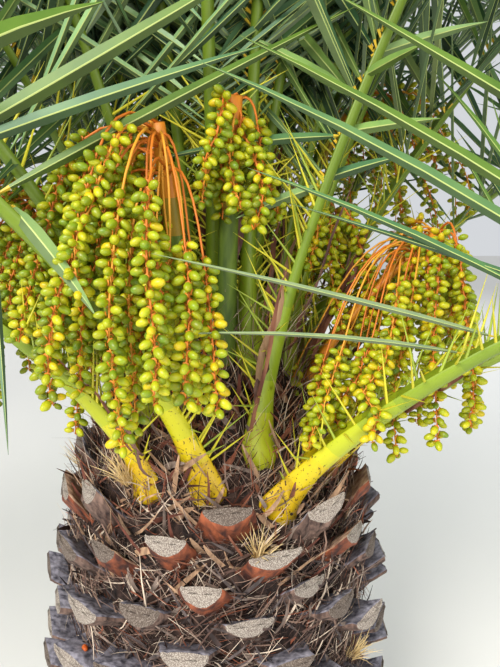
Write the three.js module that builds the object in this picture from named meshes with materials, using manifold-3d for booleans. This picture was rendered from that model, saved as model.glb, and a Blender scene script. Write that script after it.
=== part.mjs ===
// A Canary Island date palm, still short in the stem, in millimetres, with +Z up.
// The stem stands on the origin. It is covered with the cut stubs of old leaf bases, set on one spiral.
// The same spiral goes on up the heart of the crown and carries the green fronds.
// Bunches of dates hang on long stalks between the lower fronds.

import * as THREE from "three";
import { mergeVertices } from "three/addons/utils/BufferGeometryUtils.js";
import Module from "manifold-3d";

const wasm = await Module();
wasm.setup();

const SEAT_GAP = 0.3; // what a frond's foot or a fruit stalk stands off the heart, and leaflets off others
const GRID = 0.05; // finished corners are rounded to this, so that no edge is shorter
const GOLDEN_TURN = 137.508; // degrees from one leaf base to the next round the stem

// The bare stem and the heart of the crown, as [height, radius] from the ground up.
const STEM_PROFILE = [
  [0, 352],
  [110, 306],
  [400, 286],
  [760, 282],
  [900, 262],
  [1000, 222],
  [1100, 172],
  [1220, 124],
  [1390, 34],
];
const STEM_SIDES = 14;

// The cut leaf bases.
const STUB_COUNT = 152;
const STUB_FOOT = 62; // height of the lowest stub's middle
const STUB_TOP = 905;
const STUB_REACH = 126; // from the bare stem to the cut face
const STUB_ROOT_WIDTH = 120;
const STUB_CUT_WIDTH = 82;
const STUB_DEPTH = 50;
const STUB_LOW_RISE = 20; // degrees above level, at the foot and at the top of the stem
const STUB_HIGH_RISE = 50;
const STUB_SINK = 60; // how deep a stub's root is sunk in the stem
// A stub is flat above and rounded below, with sharp side edges.
const STUB_SECTION = [
  [0.5, 0.14],
  [-0.5, 0.14],
  [-0.26, -0.56],
  [0.26, -0.56],
];

// The fronds, from the oldest and lowest to the spears in the middle.
const FROND_COUNT = 42;
const FROND_START_TURN = -30; // heading of frond 0, in degrees from +X
const FROND_LOW_SEAT = 1005; // height of the lowest frond's foot on the heart
const FROND_HIGH_SEAT = 1345;
const FROND_LOW_RISE = 48; // degrees above level at the foot
const FROND_HIGH_RISE = 87;
const FROND_LOW_TIP_RISE = -48; // degrees above level at the tip
const FROND_HIGH_TIP_RISE = 68;
const FROND_LENGTH = 2900;
const SPEAR_LENGTH = 1900;
const SPEAR_FROM = 0.82; // share of the spiral after which fronds are young and shorter
const LINE_STEPS = 48;
const PETIOLE_LENGTH = 560; // the bare foot of a low frond, before its first leaflets
const INNER_PETIOLE_LENGTH = 250; // the same on the youngest frond
const PETIOLE_FOOT_WIDTH = 88;
const PETIOLE_WIDTH = 46;
const RIB_TIP_WIDTH = 9;
const RIB_DEPTH_SHARE = 0.62; // depth of the rib against its width
const PETIOLE_STATIONS = 4;
const BLADE_STATIONS = 17;
const LEAFLET_LENGTH = 550;
const LEAFLET_LOW_ANGLE = 92; // degrees between leaflet and rib, at the blade's start and at its tip
const LEAFLET_HIGH_ANGLE = 26;
const LEAFLET_LOW_SET = 44; // degrees that a leaflet stands up from the blade's plane
const LEAFLET_HIGH_SET = 10;
const LEAFLET_STEEPEST_SET = 42; // steeper, it would lie inside the rib's flank that it stands on
const FROND_SINK = 14; // how far a frond's foot starts inside the heart, before it is cut back

// Fronds that lie otherwise than the spiral gives, by their place on it. A seat turn is where the foot
// stands round the heart, a heading is where the frond goes, both in degrees from +X.
const SET_FRONDS = {
  0: { seatTurn: -61, seat: 985, heading: -22, rise: 47, bend: 1.1, footWidth: 96 },
  2: { seatTurn: -86, seat: 1010, heading: -155, rise: 66, tipRise: -20, bend: 1, footWidth: 84 },
  7: { seatTurn: -117, seat: 1000, heading: -158, rise: 64, tipRise: -44, bend: 0.8, footWidth: 70 },
  8: { seatTurn: -27, seat: 968, heading: -8, rise: 47, tipRise: -40, bend: 0.8, footWidth: 50 },
  9: { rise: 57 },
  15: { heading: -140 },
  16: { seatTurn: -8, heading: 16, rise: 63, tipRise: 0 },
  17: { rise: 70, tipRise: -8 },
  18: { seatTurn: -72, seat: 1070, heading: -5, rise: 76, tipRise: 30, footWidth: 66 },
  20: { rise: 75 },
  21: { heading: 20, rise: 74 },
  26: { heading: -76, rise: 88, tipRise: 0 },
  31: { rise: 82, tipRise: -20, bend: 1.1 },
};
// Places on the spiral whose fronds were cut away, on the side that is open to a picker.
const CUT_FRONDS = [5, 10, 13, 23];

// The bunches of fruit. A stalk leaves the heart at its seat and ends where its strands part.
// The strands hang down by the drop, within the spread of a middle that lies to one side by the lean.
// With a slant, the strands on the -X side hang that much further back, behind the stalk of a frond.
const BUNCHES = {
  front: {
    seatTurn: -105, seat: 1120, end: [-65, -235, 1600], lean: [-75, -35], spread: 150, drop: 420, slant: 0.6,
  },
  front_high: { seatTurn: -80, seat: 1165, end: [48, -215, 1640], lean: [-5, 0], spread: 60, drop: 190 },
  left: { seatTurn: 181, seat: 1150, end: [-300, -25, 1500], lean: [-60, -30], spread: 170, drop: 430 },
  right: { seatTurn: -12, seat: 1085, end: [430, -40, 1430], lean: [-90, -40], spread: 180, drop: 390 },
  right_high: { seatTurn: 7, seat: 1190, end: [210, 35, 1480], lean: [25, -40], spread: 100, drop: 250 },
  right_back: { seatTurn: 55, seat: 1205, end: [350, 250, 1750], lean: [90, 70], spread: 170, drop: 430 },
  back_right: { seatTurn: 73, seat: 1120, end: [40, 370, 1620], lean: [0, 60], spread: 170, drop: 430 },
  back_left: { seatTurn: 124, seat: 1130, end: [-270, 250, 1600], lean: [-40, 40], spread: 170, drop: 430 },
};
const STALK_WIDTH = 44;
const STALK_TIP_WIDTH = 26;
const STALK_STEPS = 5;
const STRANDS = 7; // thick strands in a bunch, each for a handful of real ones
const STRAND_STEPS = 5;
const STRAND_RADIUS = 38;
const STRAND_NECK = 11; // radius of the bare strand next to the stalk
const STRAND_LIFT = 45; // how high a strand rises before it hangs down, where it reaches out far enough
const STRAND_LIFT_REACH = 110;
const STRAND_CLEARANCE = 12;
const STRAND_SHARED = 16000; // mm³ that a strand may share with the rest of its bunch, at its neck
const STRAND_SHARPEST = 0.1; // cosine of the sharpest bend in a strand, which may not pass through itself
const STRAND_TRIES = [1, 0.75, 0.5, 0.25, 1.25]; // shares of the spread tried until a strand is free
const FRUIT_BUMP = 22; // height of a bump on a thick strand, each for several fruits

const UP = new THREE.Vector3(0, 0, 1);
const radians = THREE.MathUtils.degToRad;
const mix = THREE.MathUtils.lerp;

// A number from 0 to 1 that depends only on two whole numbers.
function chance(index, salt) {
  const wave = Math.sin(index * 12.9898 + salt * 78.233) * 43758.5453;
  return wave - Math.floor(wave);
}

// A direction from its heading round +Z and its rise above level, in degrees.
function direction(heading, rise) {
  const level = Math.cos(radians(rise));
  return new THREE.Vector3(
    level * Math.cos(radians(heading)),
    level * Math.sin(radians(heading)),
    Math.sin(radians(rise)),
  );
}

function stemRadius(height) {
  for (let k = 1; k < STEM_PROFILE.length; k++) {
    const [low, lowRadius] = STEM_PROFILE[k - 1];
    const [high, highRadius] = STEM_PROFILE[k];
    if (height <= high) return mix(lowRadius, highRadius, (height - low) / (high - low));
  }
  return 0;
}

// A point on the stem's surface, moved outwards by a distance that may be negative.
function onStem(turn, height, outwards) {
  return direction(turn, 0)
    .multiplyScalar(stemRadius(height) + outwards)
    .setZ(height);
}

// The part's closed solids, and the way back to a geometry that three.js draws.

function solidOf(geometry) {
  const bare = geometry.clone();
  bare.deleteAttribute("normal");
  bare.deleteAttribute("uv");
  const merged = mergeVertices(bare, 1e-3);
  return new wasm.Manifold(
    new wasm.Mesh({
      numProp: 3,
      vertProperties: merged.attributes.position.array,
      triVerts: new Uint32Array(merged.index.array),
    }),
  );
}

function geometryOf(solid) {
  const mesh = solid.getMesh();
  const geometry = new THREE.BufferGeometry();
  geometry.setAttribute("position", new THREE.BufferAttribute(mesh.vertProperties, 3));
  geometry.setIndex(new THREE.BufferAttribute(mesh.triVerts, 1));
  geometry.computeVertexNormals();
  return geometry;
}

function facesOf(points, faces) {
  const geometry = new THREE.BufferGeometry().setFromPoints(points);
  geometry.setIndex(faces.flat());
  return geometry;
}

const largest = (solid) => solid.decompose().reduce((a, b) => (b.volume() > a.volume() ? b : a));
// The same solid with its corners rounded to the grid and the edges that this closes taken out.
function tidied(solid) {
  const { vertProperties, triVerts } = solid.simplify(GRID).getMesh();
  const places = new Map();
  const corners = [];
  const kept = [];
  for (let k = 0; k < vertProperties.length; k += 3) {
    const rounded = [0, 1, 2].map((j) => Math.round(vertProperties[k + j] / GRID));
    const key = rounded.join();
    if (!places.has(key)) {
      places.set(key, kept.length / 3);
      kept.push(...rounded.map((value) => value * GRID));
    }
    corners.push(places.get(key));
  }
  const faces = new Map();
  for (let k = 0; k < triVerts.length; k += 3) {
    const face = [corners[triVerts[k]], corners[triVerts[k + 1]], corners[triVerts[k + 2]]];
    if (new Set(face).size < 3) continue;
    const key = [...face].sort().join();
    if (faces.has(key)) faces.delete(key); // two faces back to back hold nothing between them
    else faces.set(key, face);
  }
  const triangles = new Uint32Array([...faces.values()].flat());
  return new wasm.Manifold(
    new wasm.Mesh({ numProp: 3, vertProperties: new Float32Array(kept), triVerts: triangles }),
  );
}

const overlaps = (a, b) => !a.intersect(b).isEmpty();
const touches = (a, b) => a.minGap(b, 1) < SEAT_GAP;

// The two directions across a limb that runs along a given way: one level, to its left, and one upwards.
function across(along, twist = 0) {
  const level = new THREE.Vector3().crossVectors(UP, along);
  if (level.lengthSq() < 1e-8) level.set(0, 1, 0);
  const side = level.normalize();
  const up = new THREE.Vector3().crossVectors(along, side).normalize();
  const turned = side.clone().multiplyScalar(Math.cos(twist)).addScaledVector(up, Math.sin(twist));
  return { side: turned, up: new THREE.Vector3().crossVectors(along, turned).normalize() };
}

// A closed limb with one section, given as [across, up] shares of each station's width and depth.
function limb(stations, section) {
  const points = [];
  const faces = [];
  const sides = section.length;
  for (const { centre, side, up, width, depth } of stations)
    for (const [sideways, upwards] of section)
      points.push(
        centre.clone().addScaledVector(side, sideways * width).addScaledVector(up, upwards * depth),
      );
  for (let ring = 0; ring + 1 < stations.length; ring++)
    for (let k = 0; k < sides; k++) {
      const next = (k + 1) % sides;
      const [a, b] = [ring * sides + k, ring * sides + next];
      faces.push([a, b, b + sides], [a, b + sides, a + sides]);
    }
  const last = (stations.length - 1) * sides;
  for (let k = 1; k + 1 < sides; k++) faces.push([0, k + 1, k], [last, last + k, last + k + 1]);
  return facesOf(points, faces);
}

const roundSection = (sides) =>
  Array.from({ length: sides }, (_, k) => [
    Math.cos((k * 2 * Math.PI) / sides) / 2,
    Math.sin((k * 2 * Math.PI) / sides) / 2,
  ]);

// The stem and its stubs.

function stemSolid(swell = 0) {
  const outline = [new THREE.Vector2(0, 0)];
  for (const [height, radius] of STEM_PROFILE) outline.push(new THREE.Vector2(radius + swell, height));
  outline.push(new THREE.Vector2(0, STEM_PROFILE.at(-1)[0] + swell));
  return solidOf(new THREE.LatheGeometry(outline, STEM_SIDES).rotateX(Math.PI / 2));
}

function stubSolid(index) {
  const share = index / (STUB_COUNT - 1);
  const height = mix(STUB_FOOT, STUB_TOP, share);
  const turn = FROND_START_TURN - (STUB_COUNT - index) * GOLDEN_TURN;
  const rise = mix(STUB_LOW_RISE, STUB_HIGH_RISE, share * share) + 8 * (chance(index, 1) - 0.5);
  const heading = turn + 10 * (chance(index, 2) - 0.5);
  const along = direction(heading, rise);
  const { side, up } = across(along);
  const cut = direction(heading, rise * 0.35); // the cut faces outwards, nearly upright
  const root = onStem(turn, height, -STUB_SINK);
  const reach = STUB_SINK + STUB_REACH * mix(1, 0.55, share ** 2) * mix(0.86, 1.1, chance(index, 3));
  const stations = [
    { centre: root, width: STUB_ROOT_WIDTH, depth: STUB_DEPTH * 1.15 },
    { centre: root.clone().addScaledVector(along, reach), width: STUB_CUT_WIDTH, depth: STUB_DEPTH * 0.94 },
  ].map((station) => ({ ...station, side, up }));
  const geometry = limb(stations, STUB_SECTION);
  const points = geometry.attributes.position;
  const end = stations.at(-1).centre;
  for (let k = points.count - STUB_SECTION.length; k < points.count; k++) {
    const point = new THREE.Vector3().fromBufferAttribute(points, k);
    const off = point.clone().sub(end).dot(cut) / along.dot(cut);
    point.addScaledVector(along, -off);
    points.setXYZ(k, point.x, point.y, point.z);
  }
  return solidOf(geometry);
}

// The line of a frond's rib from its foot to its tip, with the way it runs at each step.
function frondLine(frond) {
  const step = frond.length / LINE_STEPS;
  const point = onStem(frond.seatTurn, frond.seat, -FROND_SINK);
  const line = [];
  for (let k = 0; k <= LINE_STEPS; k++) {
    const share = k / LINE_STEPS;
    const rise = mix(frond.rise, frond.tipRise, share ** frond.bend);
    const along = direction(frond.heading + frond.sway * share, rise);
    line.push({ share, point: point.clone(), along, twist: radians(frond.twist) * share });
    point.addScaledVector(along, step);
  }
  return line;
}

function lineAt(line, share) {
  const place = Math.min(Math.max(share, 0), 1) * LINE_STEPS;
  const low = Math.min(Math.floor(place), LINE_STEPS - 1);
  const part = place - low;
  return {
    point: line[low].point.clone().lerp(line[low + 1].point, part),
    along: line[low].along.clone().lerp(line[low + 1].along, part).normalize(),
    twist: mix(line[low].twist, line[low + 1].twist, part),
  };
}

function frondFacts(index) {
  const share = index / (FROND_COUNT - 1);
  const turn = FROND_START_TURN + index * GOLDEN_TURN;
  const young = Math.max(0, (share - SPEAR_FROM) / (1 - SPEAR_FROM));
  return {
    index,
    seatTurn: turn,
    heading: turn,
    seat: mix(FROND_LOW_SEAT, FROND_HIGH_SEAT, share),
    rise: mix(FROND_LOW_RISE, FROND_HIGH_RISE, share ** 0.8),
    tipRise: mix(FROND_LOW_TIP_RISE, FROND_HIGH_TIP_RISE, share ** 1.15),
    length: mix(FROND_LENGTH, SPEAR_LENGTH, young) * mix(0.95, 1.05, chance(index, 11)),
    bend: mix(0.95, 1.35, share),
    sway: 16 * (chance(index, 12) - 0.5),
    twist: 50 * (chance(index, 13) - 0.5),
    petiole: mix(PETIOLE_LENGTH, INNER_PETIOLE_LENGTH, share),
    footWidth: mix(1, 0.5, share) * PETIOLE_FOOT_WIDTH,
    ...SET_FRONDS[index],
  };
}

// Width of the rib at a distance from its foot.
function ribWidth(frond, distance) {
  const petiole = Math.min(distance / frond.petiole, 1);
  const blade = Math.max(distance - frond.petiole, 0) / (frond.length - frond.petiole);
  const foot = mix(frond.footWidth, PETIOLE_WIDTH, Math.min(1, petiole * 2.2) ** 0.6);
  return mix(foot, RIB_TIP_WIDTH, blade ** 0.85);
}

function ribStations(frond, line) {
  const shares = [];
  const bladeFrom = frond.petiole / frond.length;
  for (let k = 0; k < PETIOLE_STATIONS; k++) shares.push((bladeFrom * k) / PETIOLE_STATIONS);
  for (let k = 0; k <= BLADE_STATIONS; k++) shares.push(mix(bladeFrom, 0.975, k / BLADE_STATIONS));
  return shares.map((share) => {
    const { point, along, twist } = lineAt(line, share);
    const width = ribWidth(frond, share * frond.length);
    return { centre: point, along, ...across(along, twist), width, depth: width * RIB_DEPTH_SHARE };
  });
}

const RIB_SECTION = [
  [0.5, 0],
  [-0.5, 0],
  [0, -1],
];

// The tip of the leaflet that stands on the rib after a station. hand is 1 to the left and -1 to the right.
function leafletTip(stations, place, hand, index) {
  const share = (place - PETIOLE_STATIONS) / BLADE_STATIONS;
  const { centre, along, side, up } = stations[place];
  const middle = centre.clone().lerp(stations[place + 1].centre, 0.5);
  const stray = chance(place, index + 40) - 0.5;
  const rank = chance(place + 50, index) - 0.5;
  const angle = radians(mix(LEAFLET_LOW_ANGLE, LEAFLET_HIGH_ANGLE, share ** 0.6) + 10 * stray);
  const upright = mix(LEAFLET_LOW_SET, LEAFLET_HIGH_SET, share) + mix(36, 14, share) * rank;
  const set = radians(Math.min(upright, LEAFLET_STEEPEST_SET));
  const length = LEAFLET_LENGTH * (0.5 + 0.5 * Math.sin(Math.PI * mix(0.3, 0.92, share)));
  const out = side.clone().multiplyScalar(hand * Math.cos(set)).addScaledVector(up, Math.sin(set));
  return middle
    .addScaledVector(along, length * Math.cos(angle))
    .addScaledVector(out, length * Math.sin(angle));
}

const place3 = ({ centre, side, up, width, depth }, [sideways, upwards]) =>
  centre.clone().addScaledVector(side, sideways * width).addScaledVector(up, upwards * depth);

// The four corners, on the rib's flank, that a leaflet after a station stands on, anticlockwise from outside.
function flank(stations, place, hand) {
  const [left, right, keel] = RIB_SECTION;
  const [first, second] = hand > 0 ? [keel, left] : [right, keel];
  return [
    place3(stations[place], first),
    place3(stations[place], second),
    place3(stations[place + 1], second),
    place3(stations[place + 1], first),
  ];
}

function leafletSolid(stations, place, hand, tip) {
  const faces = [[0, 1, 4], [1, 2, 4], [2, 3, 4], [3, 0, 4], [0, 2, 1], [0, 3, 2]];
  return solidOf(facesOf([...flank(stations, place, hand), tip], faces));
}

// The frond as one solid: a keeled rib, and a blade cut to the rib between its leaflets.
function frondSolid(stations, leaflets) {
  const points = stations.flatMap((station) => RIB_SECTION.map((corner) => place3(station, corner)));
  const faces = [[0, 2, 1]];
  const wall = (a, b, c, d, tip) => {
    if (!tip) {
      faces.push([a, b, c], [a, c, d]);
      return;
    }
    points.push(tip);
    const apex = points.length - 1;
    faces.push([a, b, apex], [b, c, apex], [c, d, apex], [d, a, apex]);
  };
  for (let place = 0; place + 1 < stations.length; place++) {
    const [left, right, keel] = [3 * place, 3 * place + 1, 3 * place + 2];
    wall(left, right, right + 3, left + 3);
    wall(right, keel, keel + 3, right + 3, leaflets.get(-place));
    wall(keel, left, left + 3, keel + 3, leaflets.get(place));
  }
  const end = stations.at(-1);
  const last = 3 * (stations.length - 1);
  points.push(end.centre.clone().addScaledVector(end.along, LEAFLET_LENGTH * 0.4));
  const tip = points.length - 1;
  faces.push([last, last + 1, tip], [last + 1, last + 2, tip], [last + 2, last, tip]);
  return solidOf(facesOf(points, faces));
}

// The line of a bunch's stalk: it leaves the heart steeply and bends outwards under its fruit.
function stalkLine(bunch) {
  const foot = onStem(bunch.seatTurn, bunch.seat, -FROND_SINK);
  const end = new THREE.Vector3(...bunch.end);
  const knee = new THREE.Vector3(mix(foot.x, end.x, 0.4), mix(foot.y, end.y, 0.4), mix(foot.z, end.z, 0.62));
  const curve = new THREE.QuadraticBezierCurve3(foot, knee, end);
  const points = curve.getPoints(STALK_STEPS);
  return points.map((point, k) => ({ point, along: curve.getTangent(k / STALK_STEPS) }));
}

function stalkSolid(stalk) {
  const stations = stalk.map(({ point, along }, k) => {
    const width = mix(STALK_WIDTH, STALK_TIP_WIDTH, k / STALK_STEPS);
    return { centre: point, ...across(along), width, depth: width * 0.6 };
  });
  return largest(solidOf(limb(stations, roundSection(5))).subtract(heart));
}

// A strand leaves the stalk's end to one side, rises a little and hangs down.
// Where it would touch a rib it slides off to the side.
function strandLine(bunch, stalk, index, closeness, ribLines) {
  const end = stalk.at(-1).point;
  const out = closeness * bunch.spread * Math.sqrt((index + 0.5) / STRANDS);
  const off = new THREE.Vector3(...bunch.lean, 0).addScaledVector(direction(index * GOLDEN_TURN, 0), out);
  off.y -= (bunch.slant ?? 0) * out * Math.cos(radians(index * GOLDEN_TURN));
  const drop = bunch.drop * mix(0.72, 1.05, chance(index, 21));
  const lift = STRAND_LIFT * Math.min(1, off.length() / STRAND_LIFT_REACH);
  const line = [end.clone()];
  for (let k = 1; k <= STRAND_STEPS; k++) {
    const share = k / STRAND_STEPS;
    const point = end.clone().addScaledVector(off, 1 - (1 - share) ** 2.4);
    point.z += lift * Math.sin(Math.PI * Math.min(1, share * 1.8)) - drop * share ** 1.5;
    for (const stations of [...ribLines, ...ribLines]) {
      const shift = awayFrom(stations, point, STRAND_RADIUS + STRAND_CLEARANCE);
      if (shift) point.add(shift);
    }
    line.push(point);
  }
  return line;
}

// How far to move a point so that it lies a distance clear of a rib's line, or nothing where it does.
function awayFrom(stations, point, distance) {
  let nearest = null;
  for (let k = 0; k + 1 < stations.length; k++) {
    const span = new THREE.Line3(stations[k].centre, stations[k + 1].centre);
    const on = span.closestPointToPoint(point, true, new THREE.Vector3());
    const gap = point.distanceTo(on);
    if (!nearest || gap < nearest.gap) nearest = { on, gap, width: stations[k].width };
  }
  const need = distance + nearest.width * 0.62;
  if (nearest.gap >= need) return null;
  return point.clone().sub(nearest.on).setLength(need - nearest.gap);
}

// A bunch as one solid. A strand that would touch a rib, fold, or sink into its neighbours is drawn in or
// left out.
function bunchSolid(bunch, ribLines, obstacles) {
  const stalk = stalkLine(bunch);
  let solid = stalkSolid(stalk);
  for (let index = 0; index < STRANDS; index++)
    for (const closeness of STRAND_TRIES) {
      const strand = strandSolid(strandLine(bunch, stalk, index, closeness, ribLines));
      if (!strand || obstacles.some((other) => overlaps(strand, other))) continue;
      if (solid.intersect(strand).volume() > STRAND_SHARED) continue;
      solid = solid.add(strand);
      break;
    }
  return largest(solid);
}

// One thick strand, closed, with a bump for a handful of fruit on every face behind its bare neck,
// or nothing where its line bends too sharply.
function strandSolid(line) {
  const sides = 4;
  let { side } = across(line[1].clone().sub(line[0]).normalize());
  const stations = line.map((centre, k) => {
    const before = line[Math.max(k - 1, 0)];
    const along = line[Math.min(k + 1, STRAND_STEPS)].clone().sub(before).normalize();
    const radius = k < 2 ? STRAND_NECK : STRAND_RADIUS * (k === STRAND_STEPS ? 0.55 : 0.8);
    side = side.clone().addScaledVector(along, -side.dot(along)).normalize(); // so that it never twists
    const up = new THREE.Vector3().crossVectors(along, side);
    return { centre, side, up, width: 2 * radius, depth: 2 * radius };
  });
  const section = roundSection(sides);
  const runs = line.slice(1).map((point, k) => point.clone().sub(line[k]).normalize());
  if (runs.some((run, k) => k > 0 && run.dot(runs[k - 1]) < STRAND_SHARPEST)) return null;
  const points = stations.flatMap((station) => section.map((corner) => place3(station, corner)));
  const last = points.length - sides;
  const faces = [[0, 2, 1], [0, 3, 2], [last, last + 1, last + 2], [last, last + 2, last + 3]];
  for (let ring = 0; ring + 1 < stations.length; ring++)
    for (let k = 0; k < sides; k++) {
      const [a, b] = [ring * sides + k, ring * sides + ((k + 1) % sides)];
      const corners = [a, b, b + sides, a + sides];
      if (ring < 2) {
        faces.push([corners[0], corners[1], corners[2]], [corners[0], corners[2], corners[3]]);
        continue;
      }
      const middle = corners.reduce((sum, corner) => sum.add(points[corner]), new THREE.Vector3());
      middle.divideScalar(4);
      const core = stations[ring].centre.clone().lerp(stations[ring + 1].centre, 0.5);
      points.push(middle.add(middle.clone().sub(core).setLength(FRUIT_BUMP)));
      const top = points.length - 1;
      corners.forEach((corner, j) => faces.push([corner, corners[(j + 1) % 4], top]));
    }
  return solidOf(facesOf(points, faces));
}

// The whole palm.

const LEAF = new THREE.MeshStandardMaterial({ name: "leaf", color: 0x5c7a34, roughness: 0.55 });
const BARK = new THREE.MeshStandardMaterial({ name: "bark", color: 0x7a6a5c, roughness: 0.9 });
const FRUIT = new THREE.MeshStandardMaterial({ name: "fruit", color: 0xa8ae2c, roughness: 0.45 });

const palm = new THREE.Group();
palm.name = "canary_island_date_palm";

function addNode(name, solid, material) {
  const mesh = new THREE.Mesh(geometryOf(tidied(solid)), material);
  mesh.name = name;
  palm.add(mesh);
}

const heart = stemSolid(SEAT_GAP);
const fronds = [];
for (let index = 0; index < FROND_COUNT; index++) {
  if (CUT_FRONDS.includes(index)) continue;
  const facts = frondFacts(index);
  const stations = ribStations(facts, frondLine(facts));
  fronds.push({ facts, stations, rib: largest(frondSolid(stations, new Map()).subtract(heart)) });
}

const ribs = fronds.map(({ rib }) => rib);
const bunches = [];
for (const bunch of Object.values(BUNCHES))
  bunches.push(bunchSolid(bunch, fronds.map(({ stations }) => stations), [...ribs, ...bunches]));

let trunk = stemSolid();
for (let index = 0; index < STUB_COUNT; index++) {
  const stub = stubSolid(index);
  if ([...ribs, ...bunches].some((other) => overlaps(stub, other))) continue;
  trunk = trunk.add(stub);
}
addNode("trunk", largest(trunk), BARK);
Object.keys(BUNCHES).forEach((name, k) => addNode("fruit_bunch_" + name, bunches[k], FRUIT));

// Leaflets are set one by one, and one that would touch another piece of the palm is left out.
const boxOf = (solid) => {
  const { min, max } = solid.boundingBox();
  return new THREE.Box3(new THREE.Vector3(...min), new THREE.Vector3(...max));
};
const taken = [
  ...fronds.map(({ rib, facts }) => ({ solid: rib, box: boxOf(rib), frond: facts.index })),
  ...[...bunches, trunk].map((solid) => ({ solid, box: boxOf(solid), frond: -1 })),
];
for (const { facts, stations } of fronds) {
  const leaflets = new Map();
  for (let place = PETIOLE_STATIONS; place + 1 < stations.length; place++)
    for (const hand of [1, -1]) {
      const tip = leafletTip(stations, place, hand, facts.index);
      const solid = leafletSolid(stations, place, hand, tip);
      if (solid.volume() <= 0) continue;
      const box = boxOf(solid);
      const near = taken.filter((other) => other.box.intersectsBox(box));
      const others = near.filter((other) => other.frond !== facts.index);
      const own = near.filter((other) => other.frond === facts.index);
      if (others.some((other) => touches(other.solid, solid))) continue;
      if (own.some((other) => other.solid.intersect(solid).volume() > 1)) continue;
      taken.push({ solid, box, frond: facts.index });
      leaflets.set(hand * place, tip);
    }
  const frond = largest(frondSolid(stations, leaflets).subtract(heart));
  addNode("frond_" + String(facts.index).padStart(2, "0"), frond, LEAF);
}
export default palm;
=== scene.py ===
# %% [markdown]
# A Canary Island date palm with a stem still short enough to look into its crown.
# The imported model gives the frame: where the stem stands, where each frond and each bunch of dates goes.
# This lesson dresses it, from the ground up, with bark, cut leaf bases, fibres, ribs, leaflets and fruit.
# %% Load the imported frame
import math

import bpy
import numpy as np
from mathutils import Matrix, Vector
from mathutils.kdtree import KDTree


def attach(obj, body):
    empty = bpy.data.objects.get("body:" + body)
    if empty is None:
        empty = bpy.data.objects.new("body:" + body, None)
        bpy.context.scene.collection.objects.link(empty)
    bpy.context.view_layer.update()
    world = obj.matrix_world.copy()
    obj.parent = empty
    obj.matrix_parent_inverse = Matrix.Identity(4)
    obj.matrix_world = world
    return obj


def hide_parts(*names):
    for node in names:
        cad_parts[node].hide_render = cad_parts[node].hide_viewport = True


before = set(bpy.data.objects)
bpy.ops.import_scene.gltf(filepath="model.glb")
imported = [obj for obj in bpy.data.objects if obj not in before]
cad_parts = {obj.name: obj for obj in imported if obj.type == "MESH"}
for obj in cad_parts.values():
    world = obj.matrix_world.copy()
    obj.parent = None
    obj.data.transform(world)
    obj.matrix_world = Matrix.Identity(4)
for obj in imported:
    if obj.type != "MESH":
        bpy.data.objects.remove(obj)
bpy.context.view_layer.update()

# %% [markdown]
# The palm is far too regular to place by hand, and far too varied to be a plain pattern.
# Both come from one rule: every leaf base stands a golden turn, 137.5 degrees, after the one before it,
# and every small stray comes from a seeded number, so the palm is the same each time it is made.
# %% Directions and seeded strays
UP = np.array([0.0, 0.0, 1.0])
GOLDEN_TURN = 137.508


def chance(index, salt):
    """A number from 0 to 1 that looks drawn at random, but is always the same for an index and a salt."""
    wave = np.sin(index * 12.9898 + salt * 78.233) * 43758.5453
    return wave - np.floor(wave)


def mix(low, high, share):
    return low + (high - low) * share


def between(low, high, index, salt, power=1):
    """A seeded number from low to high, nearer to low the higher the power is."""
    return mix(low, high, chance(index, salt) ** power)


def direction(heading, rise):
    heading, rise = np.radians(heading), np.radians(rise)
    level = np.cos(rise)
    return np.stack(np.broadcast_arrays(level * np.cos(heading), level * np.sin(heading), np.sin(rise)), -1)


def unit(vectors):
    return vectors / np.maximum(np.linalg.norm(vectors, axis=-1, keepdims=True), 1e-9)


def dot(a, b):
    return (a * b).sum(-1, keepdims=True)


def beside(along, askew):
    """Two directions across ways that may also run straight up, found with one that is askew to them."""
    side = unit(np.cross(along, askew))
    return side, np.cross(along, side)


def columns(rows):
    """Joins rows of arrays, column by column."""
    return [np.concatenate(column) for column in zip(*rows)]


def across(along, twist=0.0):
    """The level direction across a limb, to its left, and the one upwards, both turned by a twist."""
    side = unit(np.cross(UP, along))
    up = np.cross(along, side)
    twist = np.asarray(twist, float)[..., None]
    turned = side * np.cos(twist) + up * np.sin(twist)
    return turned, np.cross(along, turned)


print("first turns", [round(k * GOLDEN_TURN % 360) for k in range(5)])

# %% [markdown]
# A plant is thousands of small things of a few kinds. Each kind is modelled once in edit mode, from a basic
# form whose points are picked by their place, then scaled or moved.
# These helpers start such a pattern, change it, and read its points and faces when it is done.
# %% Modelling a pattern
def start_fresh():
    """Leaves edit mode and lets go of whatever is selected."""
    if bpy.context.object and bpy.context.object.mode == "EDIT":
        bpy.ops.object.mode_set(mode="OBJECT")
    bpy.ops.object.select_all(action="DESELECT")


def begin(add, **settings):
    """Starts a pattern from a basic form and opens it in edit mode."""
    start_fresh()
    add(**settings)
    bpy.ops.object.transform_apply(location=True)
    bpy.ops.object.mode_set(mode="EDIT")
    return bpy.context.object


def pick(thing, test, kind="VERT"):
    """Selects, in edit mode, only the points, edges or faces whose place passes the test."""
    bpy.ops.mesh.select_mode(type=kind)
    bpy.ops.mesh.select_all(action="DESELECT")
    bpy.ops.object.mode_set(mode="OBJECT")
    mesh = thing.data
    group = {"VERT": mesh.vertices, "EDGE": mesh.edges, "FACE": mesh.polygons}[kind]
    for item in group:
        if kind == "VERT":
            item.select = bool(test(item.co))
        elif kind == "EDGE":
            item.select = bool(test(*(mesh.vertices[k].co for k in item.vertices)))
        else:
            item.select = bool(test(item.normal))
    bpy.ops.object.mode_set(mode="EDIT")


def reshape(thing, test, scale=None, shift=None):
    """Picks the points that pass the test, scales them about the origin and moves them."""
    pick(thing, test)
    if scale:
        bpy.ops.transform.resize(value=scale, center_override=(0, 0, 0))
    if shift:
        bpy.ops.transform.translate(value=shift)


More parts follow.
